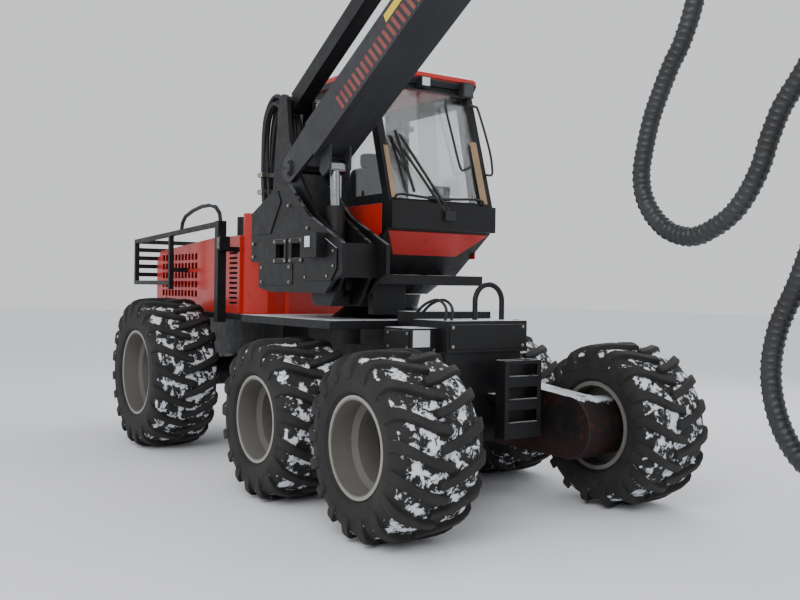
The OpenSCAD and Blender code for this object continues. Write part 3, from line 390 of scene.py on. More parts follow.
# The same glass over an unlit bulb, painted dark grey: painted shade where the reflector shows no light
shaded_lamp_glass = moulded("lamp_glass_painted_shade", "34373a", "44484c", 0.12, 6, 0.8)
# Chassis paint on the crane's upright plates, where little snow can lie
crane_paint = coated_steel("sprayed_black_crane_paint", "0c0c0e", "131416", 0.46, 3, snow=0.12)
# Woven seat cover: dark, soft
seat_cloth = moulded("woven_seat_cloth", "1b1c20", "26272c", 0.95, 2, 0.8)
# Printed film on a blank plate: off white
plate_white = moulded("printed_white_plate_film", "d5d8dc", "c2c6cb", 0.4, 5, 0.1)
plate_yellow = moulded("printed_yellow_plate_film", "e0c022", "cfae1c", 0.4, 5, 0.1)
# Vinyl stripes on the boom, faded from dull red to tan
stripe_film = moulded("faded_red_stripe_vinyl", "7d2f2c", "8a4a40", 0.5, 5, 0.1)

FINISH = {
    "black_paint": chassis_paint, "charcoal_paint": boom_paint, "red_paint": panel_paint,
    "silver_paint": rim_paint,
    "tyre": tread_rubber, "bare_steel": wear_steel, "chrome": hard_chrome, "window_glass": cab_pane,
    "seat_fabric": seat_cloth, "hose_rubber": hose_rubber, "cast_iron": cast_block,
}
for part in frame["record"]["subparts"]:
    mesh = frame["nodes"][part["node"]].data
    mesh.materials.clear()
    mesh.materials.append(FINISH[part["material_slot"]])


# Ways to make a shape
def block(shape, low, high):
    """Adds a box from its lowest to its highest corner."""
    low, high = Vector(low), Vector(high)
    corners = bmesh.ops.create_cube(shape, size=1)["verts"]
    bmesh.ops.scale(shape, vec=high - low, verts=corners)
    bmesh.ops.translate(shape, vec=(low + high) / 2, verts=corners)


def rod(shape, start, end, radius, sides=24, far_radius=None):
    """Adds a round bar, or a cone, from one point to another."""
    start, end = Vector(start), Vector(end)
    turn = (end - start).to_track_quat("Z", "Y").to_matrix().to_4x4()
    bmesh.ops.create_cone(
        shape, cap_ends=True, segments=sides, radius1=radius,
        radius2=radius if far_radius is None else far_radius,
        depth=(end - start).length, matrix=Matrix.Translation((start + end) / 2) @ turn,
    )


def curved(points, step):
    """Points about a step apart on a smooth curve through the given ones."""
    points = [Vector(p) for p in points]
    line = [2 * points[0] - points[1], *points, 2 * points[-1] - points[-2]]
    found = []
    for a, b, c, d in zip(line, line[1:], line[2:], line[3:]):
        squared = 2 * a - 5 * b + 4 * c - d
        cubed = 3 * b - a - 3 * c + d
        count = max(1, round((c - b).length / step))
        for i in range(count):
            t = i / count
            found.append((2 * b + (c - a) * t + squared * t * t + cubed * t ** 3) / 2)
    return [*found, points[-1]]


def tube(shape, line, radius, sides=12, ridge=0.0, pitch=1.0, ends=True):
    """Adds a tube along a line of points, with an optional raised spiral round it."""
    side = (line[1] - line[0]).orthogonal().normalized()
    rings, gone = [], 0.0
    for i, point in enumerate(line):
        ahead = (line[min(i + 1, len(line) - 1)] - line[max(i - 1, 0)]).normalized()
        side = (side - ahead * side.dot(ahead)).normalized()
        other = ahead.cross(side)
        gone += (point - line[max(i - 1, 0)]).length
        ring = []
        for k in range(sides):
            turn = 2 * math.pi * k / sides
            rise = ridge * max(0.0, math.cos(2 * math.pi * gone / pitch - turn)) ** 2 if ridge else 0.0
            ring.append(
                shape.verts.new(point + (side * math.cos(turn) + other * math.sin(turn)) * (radius + rise))
            )
        rings.append(ring)
    for a, b in zip(rings, rings[1:]):
        for k in range(sides):
            shape.faces.new((a[k], a[(k + 1) % sides], b[(k + 1) % sides], b[k]))
    if ends:
        shape.faces.new(rings[0][::-1])
        shape.faces.new(rings[-1])


def plate(shape, outline, near, far):
    """Adds a plate: an outline of (x, z) points, from one y to another."""
    front = [shape.verts.new((x, near, z)) for x, z in outline]
    back = [shape.verts.new((x, far, z)) for x, z in outline]
    shape.faces.new(front)
    shape.faces.new(back[::-1])
    for i in range(len(outline)):
        k = (i + 1) % len(outline)
        shape.faces.new((front[i], back[i], back[k], front[k]))


def lathe(shape, profile, sides=48, closed=False):
    """Adds a turned form round the local Y axis from (radius, along) points."""
    rings = []
    for k in range(sides):
        turn = 2 * math.pi * k / sides
        rings.append([shape.verts.new((r * math.cos(turn), y, r * math.sin(turn))) for r, y in profile])
    count = len(profile) if closed else len(profile) - 1
    for a, b in zip(rings, rings[1:] + rings[:1]):
        for i in range(count):
            k = (i + 1) % len(profile)
            shape.faces.new((a[i], b[i], b[k], a[k]))
    if not closed:
        shape.faces.new([ring[0] for ring in rings])
        shape.faces.new([ring[-1] for ring in rings][::-1])


def hex_heads(shape, points, axis, size=0.016):
    """Adds a washer and a six-sided head at each point, standing out along an axis."""
    axis = Vector(axis).normalized()
    for point in points:
        point = Vector(point)
        rod(shape, point - axis * 0.004, point + axis * 0.003, size * 1.25, 16)
        rod(shape, point, point + axis * size * 0.75, size, 6)


def finished(made, width, crease=35):
    """Smooth shading with sharp edges kept, and each sharp edge rounded by a real width."""
    made.data.shade_smooth()
    made.data.set_sharp_from_angle(angle=math.radians(crease))
    if width:
        rounded = made.modifiers.new("rounded_edges", "BEVEL")
        rounded.width = width
        rounded.segments = 2
        rounded.angle_limit = math.radians(40)
        rounded.harden_normals = True


def piece(name, shape, paint, body, width=0.003, place=None, crease=35):
    """A finished piece: put in place, smoothed, its edges rounded, riding on a CAD body."""
    if place is not None:
        shape.transform(place)
    bmesh.ops.recalc_face_normals(shape, faces=shape.faces)
    mesh = bpy.data.meshes.new(name)
    shape.to_mesh(mesh)
    shape.free()
    made = bpy.data.objects.new(name, mesh)
    bpy.context.scene.collection.objects.link(made)
    mesh.materials.append(paint)
    finished(made, width, crease)
    if body:
        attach(made, body)
    return made


def eased(node, width, paint=None):
    """A copy of a CAD node with its edges rounded, standing for it."""
    source = frame["nodes"][node]
    shape = bmesh.new()
    shape.from_mesh(source.data)
    bmesh.ops.remove_doubles(shape, verts=shape.verts, dist=0.02 * MM)
    bmesh.ops.dissolve_limit(shape, angle_limit=math.radians(0.5), verts=shape.verts, edges=shape.edges)
    made = piece(
        node + "_dressed", shape, paint or source.data.materials[0], source["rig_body"], width
    )
    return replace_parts(made, node)


MACHINE = Matrix.Translation(at(0, 0, 0))
CRANE_Y = -0.765


def crane(x, z, rise):
    """Places a shape drawn along a crane arm: X along it, Z square to it, Y across, from a pin."""
    return Matrix.Translation(at(x, CRANE_Y, z)) @ Matrix.Rotation(-math.radians(rise), 4, "Y")


# The two free hoses, in their spiral guards
JIB_PIN = (2.8755, 4.7982)
TIP = (4.64846, 3.46215)
HOSE_Y = -1.0
loop_start = [
    (424.5, -368.2), (424.5, -548.2), (422.5, -798.2), (414.5, -1048.2), (389.5, -1348.2), (334.5, -1628.2),
    (264.5, -1808.2), (194.5, -1918.2), (134.5, -2033.2), (74.5, -2168.2), (29.5, -2338.2), (14.5, -2448.2),
    (36.5, -2563.2), (104.5, -2668.2), (209.5, -2748.2), (344.5, -2778.2), (464.5, -2743.2),
    (574.5, -2678.2), (654.5, -2588.2), (719.5, -2473.2), (764.5, -2348.2), (824.5, -2218.2),
]
loop_end = [
    (-858.5, -762.2), (-748.5, -612.2), (-608.5, -442.2), (-468.5, -272.2), (-338.5, -112.2),
    (-224.5, 17.8), (-188.5, 65.8)
]
head_run = [
    (-92.5, -6.7), (-128.5, -54.7), (-248.5, -242.2), (-378.5, -502.2), (-508.5, -782.2), (-638.5, -1082.2),
    (-748.5, -1382.2), (-848.5, -1652.2), (-948.5, -1872.2), (-978.5, -2092.2), (-918.5, -2312.2),
    (-788.5, -2462.2), (-598.5, -2512.2), (-408.5, -2462.2), (-234.6, -2462.2),
]


def from_pin(pin, run):
    """A hose's route, given in millimetres from a crane pin."""
    return [at(pin[0] + x * MM, HOSE_Y, pin[1] + z * MM) for x, z in run]


def crane_hose(name, node, route):
    """A thick hose bundle in a ribbed spiral guard, bending between two crane arms."""
    line = curved(route, 0.008)
    shape = bmesh.new()
    tube(shape, line, 0.0435, 24, ridge=0.0065, pitch=0.034)
    made = piece(name, shape, guard_plastic, None, 0)
    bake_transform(made)
    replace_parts(made, node)
    return made


crane_hose(
    "jib_hose_bundle", "hose_loop", from_pin(JIB_PIN, loop_start) + from_pin(TIP, loop_end),
)
crane_hose("head_hose_bundle", "head_hose", from_pin(TIP, head_run))


# Wheels
LUG_HEIGHT = 0.042
# Half the width of the tread's flat part; beyond it is the shoulder
TREAD_HALF = 0.29
# How much snow the grooves and the shoulders hold, from 0 to 1
GROOVE_SNOW = 0.70
SHOULDER_SNOW = 0.60
# A lug is drawn this much wider than its table says
LUG_SPREAD = 1.2


def tyre(name, node, radius, bead, lugs):
    """A forestry tyre: a carcass with beads and side ribs, and slanted lugs wrapped over its shoulders."""
    base = radius - LUG_HEIGHT
    # Half the section, from the middle of the tread to the bead: (across, radius)
    half = [
        (0.0, base), (0.08, base), (0.15, base - 0.002), (0.21, base - 0.006), (0.262, base - 0.013),
        (0.298, base - 0.028), (0.322, base - 0.056), (0.336, base - 0.095), (0.341, base - 0.135),
        (0.344, base - 0.145), (0.345, base - 0.152), (0.343, base - 0.158),
        (0.344, (base + bead) / 2 - 0.01), (0.338, bead + 0.07), (0.330, bead + 0.052),
        (0.328, bead + 0.046), (0.322, bead + 0.044), (0.312, bead + 0.030), (0.297, bead + 0.022),
        (0.296, bead + 0.001),
    ]
    profile = [(r, -y) for y, r in half[:0:-1]] + [(r, y) for y, r in half]
    shape = bmesh.new()
    held = shape.verts.layers.float.new("snow_held")
    lathe(shape, profile, 108, closed=True)
    for v in shape.verts:
        across, out = abs(v.co.y), math.hypot(v.co.x, v.co.z)
        if out < bead + 0.06:
            v[held] = 0.0
        elif across < TREAD_HALF:
            v[held] = GROOVE_SNOW
        else:
            v[held] = SHOULDER_SNOW if out > base - 0.09 else 0.0
    # Along a lug: (across, radius of its top, radius of its foot, width)
    stations = [
        (-0.045, radius - 0.006, base - 0.010, 0.044), (-0.02, radius, base - 0.010, 0.050),
        (0.08, radius - 0.001, base - 0.012, 0.052), (0.15, radius - 0.003, base - 0.014, 0.054),
        (0.21, radius - 0.007, base - 0.018, 0.057), (0.262, radius - 0.014, base - 0.026, 0.062),
        (0.308, radius - 0.030, base - 0.046, 0.068), (0.338, radius - 0.060, base - 0.078, 0.073),
        (0.352, radius - 0.105, base - 0.112, 0.075), (0.354, radius - 0.155, base - 0.135, 0.073),
        (0.350, radius - 0.190, base - 0.155, 0.066),
    ]
    for hand in (1, -1):
        for i in range(lugs):
            turn = 2 * math.pi * (i + (0.25 if hand > 0 else 0.75)) / lugs
            rings = []
            for n, (y, top, low, wide) in enumerate(stations):
                slant = turn + 0.155 * (max(y, 0) / 0.32) ** 1.2 / radius
                y_low = y - 0.018 * max(0.0, (n - 4) / 6)
                ring = []
                wide *= LUG_SPREAD
                for across, out, y_at, keeps in (
                    (-wide / 2 - 0.010, low, y_low, 0.66), (-wide / 2, top - 0.007, y, 0.30),
                    (-wide / 2 + 0.008, top, y, 0.16), (wide / 2 - 0.008, top, y, 0.16),
                    (wide / 2, top - 0.007, y, 0.30), (wide / 2 + 0.010, low, y_low, 0.66),
                ):
                    angle = slant + across / radius
                    v = shape.verts.new((out * math.cos(angle), hand * y_at, out * math.sin(angle)))
                    v[held] = keeps if n < 9 else 0.0
                    ring.append(v)
                rings.append(ring)
            for a, b in zip(rings, rings[1:]):
                for k in range(6):
                    shape.faces.new((a[k], a[(k + 1) % 6], b[(k + 1) % 6], b[k]))
            shape.faces.new(rings[0])
            shape.faces.new(rings[-1][::-1])
    made = piece(
        name, shape, tread_rubber, "wheel_" + node, 0, Matrix.Translation(middle("tyre_" + node)),
        crease=32
    )
    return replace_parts(made, "tyre_" + node)


# Bolt circles on the rim's disc and on the hub's cap, with their radii
WHEEL_NUTS = 12
NUT_RING = 0.195
CAP_SCREWS = 10
CAP_RING = 0.118


def hub(node, bead, outward):
    """What is bolted inside a rim: wheel nuts round the disc, the hub's cap with its screws, a valve."""
    shape = bmesh.new()
    disc, face = -0.125 * outward, -0.015 * outward
    for i in range(WHEEL_NUTS):
        turn = 2 * math.pi * i / WHEEL_NUTS
        spot = Vector((NUT_RING * math.cos(turn), disc, NUT_RING * math.sin(turn)))
        hex_heads(shape, [spot], (0, outward, 0), 0.019)
        rod(shape, spot, spot + Vector((0, 0.034 * outward, 0)), 0.010, 12)
    for i in range(CAP_SCREWS):
        turn = 2 * math.pi * (i + 0.5) / CAP_SCREWS
        spot = (CAP_RING * math.cos(turn), face, CAP_RING * math.sin(turn))
        hex_heads(shape, [spot], (0, outward, 0), 0.011)
    rod(shape, (0, face, 0), (0, face + 0.012 * outward, 0), 0.075, 40)
    rod(shape, (bead - 0.075, disc, 0.03), (bead - 0.075, disc + 0.07 * outward, 0.03), 0.008, 12)
    place = Matrix.Translation(middle("tyre_" + node))
    piece("hub_bolts_" + node, shape, zinc_plate, "wheel_" + node, 0.001, place)
    ring = bmesh.new()
    lip = 0.309 * outward
    section = [
        (bead + 0.004, lip), (bead + 0.019, lip), (bead + 0.0195, lip + 0.004 * outward),
        (bead + 0.013, lip + 0.007 * outward), (bead - 0.002, lip + 0.006 * outward), (bead - 0.004, lip),
    ]
    lathe(ring, section, 72, closed=True)
    piece("rim_flange_" + node, ring, flange_paint, "wheel_" + node, 0, place)


# Tyre radius, bead radius and lugs on each side
FRONT_TYRE = (0.665, 0.3365, 17)
REAR_TYRE = (0.805, 0.432, 20)
for axle in ("front", "middle", "rear"):
    radius, bead, lugs = REAR_TYRE if axle == "rear" else FRONT_TYRE
    for side, outward in (("right", -1), ("left", 1)):
        node = axle + "_" + side
        tyre("lugged_tyre_" + node, node, radius, bead, lugs)
        hub(node, bead, outward)

# CAD nodes whose form is right get rounded edges and their own paint
for node, width in (
    ("front_frame", 0.006), ("nose_box", 0.006), ("front_steps", 0.003), ("front_deck", 0.004),
    ("bogie_right", 0.008), ("pedestal", 0.004), ("rear_frame", 0.006), ("bulkhead", 0.010),
    ("hood", 0.006), ("hood_guard", 0.005), ("platform", 0.006), ("boom", 0.005), ("tie_rod", 0.004),
    ("rocker", 0.004), ("jib", 0.004), ("extension", 0.004), ("link", 0.003), ("rotator", 0.003),
    ("hanger", 0.004), ("head_frame", 0.004),
):
    eased(node, width)
eased("bogie_left", 0.008, worn_primer)
eased("crane_base", 0.005, crane_paint)
eased("cab_shell", 0.006, crane_paint)
eased("cab_door", 0.004, chassis_paint)


# Cab
# The windscreen's lower edge as (x, z), and how far back it leans over its height
SCREEN_FOOT = (-0.45, 2.5)
SCREEN_RAKE = 0.35
SCREEN_RISE = 1.1


def front_x(z):
    """How far forward the windscreen's plane stands at a height."""
    return SCREEN_FOOT[0] - SCREEN_RAKE * (z - SCREEN_FOOT[1]) / SCREEN_RISE


def panel(shape, corners, thick):
    """Adds a thin sheet on a flat outline, standing proud of what carries it."""
    corners = [Vector(c) for c in corners]
    out = (corners[1] - corners[0]).cross(corners[2] - corners[1]).normalized() * thick
    low = [shape.verts.new(c - out * 0.2) for c in corners]
    top = [shape.verts.new(c + out) for c in corners]
    shape.faces.new(low[::-1])
    shape.faces.new(top)
    for i in range(len(corners)):
        k = (i + 1) % len(corners)
        shape.faces.new((low[i], low[k], top[k], top[i]))


def sheet(shape, low, high, thick):
    """Adds an upright rectangular sheet from one lower corner to the upper corner across from it."""
    (x, y, z), (far_x, far_y, top) = low, high
    panel(shape, [(x, y, z), (far_x, far_y, z), (far_x, far_y, top), (x, y, top)], thick)


def pad(name, low, high, crown, channels=()):
    """A cushion: crowned faces, sides pulled in between the corners, and sewn channels at given y."""
    shape = bmesh.new()
    block(shape, low, high)
    bmesh.ops.subdivide_edges(shape, edges=shape.edges, cuts=22, use_grid_fill=True)
    centre, half = (Vector(low) + Vector(high)) / 2, (Vector(high) - Vector(low)) / 2
    for v in shape.verts:
        a, b, c = ((v.co[i] - centre[i]) / half[i] for i in range(3))
        swell = [(1 - b ** 4) * (1 - c ** 4), (1 - a ** 4) * (1 - c ** 4), (1 - a ** 4) * (1 - b ** 4)]
        size = max(abs(a) ** 8 + abs(b) ** 8 + abs(c) ** 8, 1e-9) ** 0.125
        groove = sum(math.exp(-((v.co.y - y) / 0.008) ** 2) for y in channels) * 0.010
        for i, share in enumerate((a, b, c)):
            rise = math.copysign(crown * swell[i] * abs(share) ** 3, share)
            v.co[i] = centre[i] + half[i] * share / size + rise
        v.co.z -= math.copysign(groove * abs(c) ** 3, c) if half.z < half.x else 0
        v.co.x -= math.copysign(groove * abs(a) ** 3, a) if half.x <= half.z else 0
    made = piece(name, shape, seat_cloth, "upper", 0, MACHINE, crease=80)
    return made


cushion = pad("seat_cushion", (-1.555, -0.072, 2.245), (-1.03, 0.432, 2.37), 0.008, (0.06, 0.30))
pad("seat_backrest", (-1.655, -0.062, 2.385), (-1.55, 0.422, 2.90), 0.008, (0.06, 0.30))
pad("seat_headrest", (-1.65, 0.05, 2.915), (-1.56, 0.31, 3.05), 0.006)
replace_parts(cushion, "seat")
# The seat's base with its bellows, and the armrests with their levers
shape = bmesh.new()
block(shape, (-1.50, -0.02, 1.915), (-1.08, 0.38, 1.96))
for i in range(5):
    inset = 0.008 * (i % 2)
    low = 1.96 + i * 0.045
    block(shape, (-1.46 + inset, 0.02 + inset, low), (-1.12 - inset, 0.34 - inset, low + 0.046))
for y in (-0.15, 0.45):
    block(shape, (-1.50, y, 2.44), (-1.10, y + 0.07, 2.49))
    block(shape, (-1.55, y + 0.01, 2.25), (-1.48, y + 0.06, 2.47))
    block(shape, (-1.14, y - 0.02, 2.48), (-1.02, y + 0.09, 2.52))
    rod(shape, (-1.08, y + 0.035, 2.52), (-1.07, y + 0.035, 2.63), 0.016, 16, 0.022)
piece("seat_base_and_armrests", shape, cab_plastic, "upper", 0.006, MACHINE)
# The screen on its stalk, the dashboard and the box behind the seat
shape = bmesh.new()
block(shape, (-0.93, 0.40, 2.56), (-0.90, 0.60, 2.71))
rod(shape, (-0.92, 0.56, 2.28), (-0.92, 0.52, 2.57), 0.014, 16)
block(shape, (-0.78, -0.30, 2.26), (-0.54, 0.66, 2.46))
block(shape, (-1.98, -0.25, 2.0), (-1.72, 0.60, 2.52))
piece("dash_and_monitor", shape, cab_plastic, "upper", 0.008, MACHINE)

shape = bmesh.new()
panel(
    shape,
    [
        (-2.12, -0.381, 1.885), (-1.01, -0.381, 1.885), (-0.56, -0.381, 2.225), (-0.56, -0.381, 2.475),
        (-2.12, -0.381, 2.475)
    ],
    0.006
)


def belly(share, side):
    """A point on the slanted face under the windscreen: brow to chin, and right to left, from 0 to 1."""
    near, far = -0.38 + 0.24 * share, 0.74 - 0.24 * share
    return (-0.48 - 0.27 * share, near + (far - near) * side, 2.25 - 0.23 * share)


panel(shape, [belly(0.03, 0.01), belly(0.87, 0.01), belly(0.87, 0.99), belly(0.03, 0.99)], 0.006)
piece("red_cab_panels", shape, panel_paint, "upper", 0.002, MACHINE)
shape = bmesh.new()
sheet(shape, (-0.70, 0.741, 2.03), (-1.86, 0.741, 2.45), 0.006)
piece("red_door_panel", shape, panel_paint, "door", 0.002, MACHINE)
eased("cab_roof", 0.010)
shape = bmesh.new()
plate(
    shape, [(-0.82, 3.598), (-0.784, 3.598), (-0.750, 3.642), (-0.752, 3.655), (-0.82, 3.655)], -0.412,
    0.772
)
for y in (-0.415, 0.769):
    block(shape, (-2.185, y, 3.602), (-0.80, y + 0.006, 3.65))
for y, low, top, wide in (
    (-0.345, 3.52, 3.66, 0.12), (0.115, 3.565, 3.655, 0.10), (0.585, 3.52, 3.66, 0.12)
):
    block(shape, (-0.79, y, low), (-0.706, y + wide, top))
piece("roof_header_and_lamp_cases", shape, cab_plastic, "upper", 0.004, MACHINE)
# Lenses of near white glass: a painted reflection of light in their reflectors
shape = bmesh.new()
block(shape, (-0.708, 0.124, 3.573), (-0.702, 0.206, 3.647))
block(shape, (-0.635, -1.086, 2.075), (-0.55, -1.079, 2.165))
piece("lamp_lenses", shape, lamp_glass, "upper", 0.003, MACHINE)
# Lenses of dark grey glass: painted shade in their reflectors
shape = bmesh.new()
for y in (-0.335, 0.595):
    block(shape, (-0.708, y, 3.532), (-0.701, y + 0.10, 3.648))
piece("shaded_lamp_lenses", shape, shaded_lamp_glass, "upper", 0.003, MACHINE)

shape = bmesh.new()
for y, top, wide in ((-0.352, 2.98, 0.045), (0.612, 3.10, 0.075)):
    foot_x, top_x = front_x(2.52) + 0.002, front_x(top) + 0.002
    panel(
        shape, [(foot_x, y, 2.52), (foot_x, y + wide, 2.52), (top_x, y + wide, top), (top_x, y, top)], 0.004
    )
piece("tan_pillar_linings", shape, tan_lining, "upper", 0.001, MACHINE)

shape = bmesh.new()
for route in (
    [
        (-0.735, 0.52, 3.49), (-0.734, 0.44, 3.475), (-0.712, 0.385, 3.42), (-0.62, 0.405, 3.12),
        (-0.535, 0.425, 2.86), (-0.525, 0.46, 2.82), (-0.532, 0.56, 2.865)
    ],
    [
        (-0.725, 0.66, 3.46), (-0.722, 0.735, 3.45), (-0.71, 0.768, 3.41), (-0.60, 0.815, 3.05),
        (-0.545, 0.81, 2.86), (-0.52, 0.78, 2.80), (-0.515, 0.715, 2.795)
    ],
    [
        (-0.45, -0.31, 2.49), (-0.435, -0.285, 2.55), (-0.435, 0.12, 2.532), (-0.435, 0.57, 2.552),
        (-0.44, 0.63, 2.49)
    ],
):
    tube(shape, curved(route, 0.02), 0.011)
wiper_arms = (
    ((-0.585, -0.198, 3.085), (-0.395, 0.235, 2.40)),
    ((-0.545, -0.182, 2.95), (-0.385, 0.195, 2.38)),
)
for start, end in wiper_arms:
    rod(shape, start, end, 0.013, 12)
    rod(shape, end, (end[0] - 0.03, end[1], end[2] - 0.01), 0.022, 16)
rod(shape, (-0.625, -0.215, 3.12), (-0.44, -0.13, 2.58), 0.014, 12)
block(shape, (-0.402, 0.16, 2.345), (-0.372, 0.27, 2.43))
piece("grab_rails_and_wiper", shape, hose_rubber, "upper", 0.002, MACHINE)

# Crane
# The outer face of the base's right plate
PLATE_Y = CRANE_Y - 0.225
# From one hose to the next at the crane's post
HOSE_GAP = 0.042
shape = bmesh.new()
plate(
    shape, [(-0.80, 1.80), (-0.34, 1.80), (-0.25, 1.90), (-0.25, 2.06), (-0.52, 2.18), (-0.80, 2.18)],
    PLATE_Y - 0.012, PLATE_Y
)
plate(
    shape, [(-1.80, 2.22), (-1.45, 2.22), (-1.25, 2.50), (-1.32, 2.60), (-1.80, 2.40)], PLATE_Y - 0.010,
    PLATE_Y
)
plate(shape, [(-1.66, 1.76), (-1.02, 1.76), (-1.02, 1.95), (-1.66, 1.95)], PLATE_Y - 0.008, PLATE_Y)
# A bolted frame round each of the plate's two windows
for x in (-1.33, -1.03):
    for near, far, low, top in (
        (-0.045, -0.003, 1.955, 2.165), (0.153, 0.195, 1.955, 2.165), (-0.003, 0.153, 1.955, 1.997),
        (-0.003, 0.153, 2.123, 2.165)
    ):
        block(shape, (x + near, PLATE_Y - 0.010, low), (x + far, PLATE_Y, top))
piece("crane_base_covers", shape, chassis_paint, "upper", 0.004, MACHINE)
shape = bmesh.new()
# Screws on the base's outer plate: (x, z)
heads = [
    (-1.80, 2.02), (-1.80, 2.14), (-1.355, 1.975), (-1.355, 2.145), (-1.155, 1.975), (-1.155, 2.145),
    (-1.055, 1.975), (-1.055, 2.145), (-0.855, 1.975), (-0.855, 2.145), (-0.77, 1.83), (-0.74, 2.15),
    (-0.40, 1.84), (-0.30, 1.92), (-0.30, 2.04), (-0.55, 2.14), (-0.75, 2.24), (-1.10, 2.45), (-1.62, 1.79),
    (-1.07, 1.79), (-1.62, 1.92), (-1.07, 1.92)
]
hex_heads(shape, [(x, PLATE_Y - 0.009, z) for x, z in heads], (0, -1, 0), 0.013)
# Some of them show on the inner plate too
hex_heads(shape, [(x, CRANE_Y + 0.225, z) for x, z in heads[5:12]], (0, 1, 0), 0.013)
piece("crane_base_bolts", shape, zinc_plate, "upper", 0.001, MACHINE)
shape = bmesh.new()
for i in range(5):
    y = CRANE_Y + (i - 2) * HOSE_GAP
    lean = 0.03 * math.sin(2.1 * i)
    route = [
        (-1.42, 3.02), (-1.52 - lean, 3.32), (-1.72, 3.44 + lean), (-1.88 - lean, 3.28), (-1.93, 2.90),
        (-1.905 + lean, 2.60), (-1.885, 2.36)
    ]
    tube(shape, curved([(x, y, z) for x, z in route], 0.03), 0.017)
for i in range(4):
    y = CRANE_Y + (i - 1.5) * HOSE_GAP
    lean = 0.02 * math.cos(1.7 * i)
    route = [
        (-1.42, 3.02), (-1.55, 3.40 + lean), (-1.77 + lean, 3.51), (-1.94, 3.30 + lean), (-1.975, 2.90),
        (-1.955, 2.60), (-1.885, 2.36)
    ]
    tube(shape, curved([(x, y, z) for x, z in route], 0.03), 0.019)
piece("crane_post_hoses", shape, hose_rubber, "upper", 0, MACHINE)
shape = bmesh.new()
for z in (2.62, 2.78):
    block(shape, (-1.992, CRANE_Y - 0.112, z), (-1.892, CRANE_Y + 0.112, z + 0.045))
hex_heads(
    shape,
    [(-1.992, y, z + 0.022) for y in (CRANE_Y - 0.09, CRANE_Y, CRANE_Y + 0.09) for z in (2.62, 2.78)],
    (-1, 0, 0), 0.009
)
piece("crane_hose_clamps", shape, zinc_plate, "upper", 0.002, MACHINE)
shape = bmesh.new()
for i in range(5):
    y = CRANE_Y + (i - 2) * HOSE_GAP
    rod(shape, (-1.885, y, 2.35), (-1.89, y, 2.43), 0.022, 6)
    rod(shape, (-1.41, y, 2.98), (-1.44, y, 3.07), 0.022, 6)
piece("crane_hose_fittings", shape, zinc_plate, "upper", 0.001, MACHINE)

BOOM = crane(-1.2, 2.79, 29.5)
BOOM_SIDE = -0.1802
STRIPES = 18
STRIPE_PITCH = 0.0705
# A slanted stripe's corners along and square to the boom
STRIPE = ((0.05, -0.125), (0.085, -0.125), (0.035, 0.025), (0, 0.025))
shape = bmesh.new()
for i in range(STRIPES):
    x = 0.94 + i * STRIPE_PITCH
    panel(shape, [(x + along, BOOM_SIDE, z) for along, z in STRIPE], 0.0012)
piece("boom_stripes", shape, stripe_film, "boom", 0, BOOM)
shape = bmesh.new()
sheet(shape, (1.80, BOOM_SIDE, 0.045), (2.14, BOOM_SIDE, 0.115), 0.002)
piece("boom_blank_plate", shape, plate_yellow, "boom", 0.0006, BOOM)
shape = bmesh.new()
for y in (-0.075, -0.025, 0.025, 0.075):
    line = [(0.50, y, 0.172), (0.62, y, 0.192), (2.2, y, 0.182), (3.85, y, 0.168), (4.0, y, 0.152)]
    tube(shape, curved(line, 0.12), 0.014)
for x in (0.8, 1.5, 2.2, 2.9, 3.6):
    block(shape, (x, -0.10, 0.125 + 0.002 * (4 - x)), (x + 0.05, 0.10, 0.212 - 0.006 * x))
piece("boom_pipes_and_clamps", shape, chassis_paint, "boom", 0.002, BOOM)
shape = bmesh.new()
for x, bolt_ring in ((0.0, 0.050), (4.2, 0.045)):
    for side in (-1, 1):
        face = side * (0.196 if x == 0 else 0.181)
        outer = face + side * 0.010
        rod(shape, (x, face, 0), (x, outer, 0), 0.062, 32)
        for turn in (0.5, 2.6, 4.7):
            spot = (x + bolt_ring * math.cos(turn), outer, bolt_ring * math.sin(turn))
            hex_heads(shape, [spot], (0, side, 0), 0.010)
piece("boom_pin_plates", shape, boom_paint, "boom", 0.001, BOOM)
JIB = crane(*JIB_PIN, -37)
shape = bmesh.new()
for y in (-0.06, -0.02, 0.02, 0.06):
    line = [(0.30, y, -0.175), (0.9, y, -0.165), (1.6, y, -0.160), (2.0, y, -0.158)]
    tube(shape, curved(line, 0.1), 0.012)
piece("jib_pipes", shape, hose_rubber, "jib", 0, JIB)

# Head
# How far the head's middle hangs behind the crane's tip
HEAD_BACK = 0.034
HEAD = Matrix.Translation(at(TIP[0] - HEAD_BACK, CRANE_Y, 0))
head_body = frame["nodes"]["head_frame"]["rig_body"]
shape = bmesh.new()
block(shape, (-0.262, -0.17, 1.22), (-0.199, 0.17, 1.92))
for side in (-1, 1):
    near, far = sorted((side * 0.269, side * 0.277))
    for low, top in ((0.86, 1.20), (1.74, 2.02)):
        block(shape, (-0.165, near, low), (-0.015, far, top))
for z in (1.34, 1.52, 1.70):
    block(shape, (-0.270, -0.12, z), (-0.260, 0.12, z + 0.05))
piece("head_covers", shape, chassis_paint, head_body, 0.006, HEAD)
shape = bmesh.new()
hex_heads(
    shape, [(-0.263, y, z) for y in (-0.145, 0.145) for z in (1.25, 1.43, 1.62, 1.89)], (-1, 0, 0), 0.010
)
for side in (-1, 1):
    hex_heads(
        shape, [(x, side * 0.278, z) for x in (-0.15, -0.03) for z in (0.88, 1.18, 1.76, 2.0)],
        (0, side, 0), 0.009
    )
rod(shape, (-0.240, -0.235, 1.0), (-0.199, -0.235, 1.0), 0.062, 6)
rod(shape, (-0.262, -0.235, 1.0), (-0.238, -0.235, 1.0), 0.054, 32)
piece("head_bolts_and_hose_fitting", shape, zinc_plate, head_body, 0.001, HEAD)
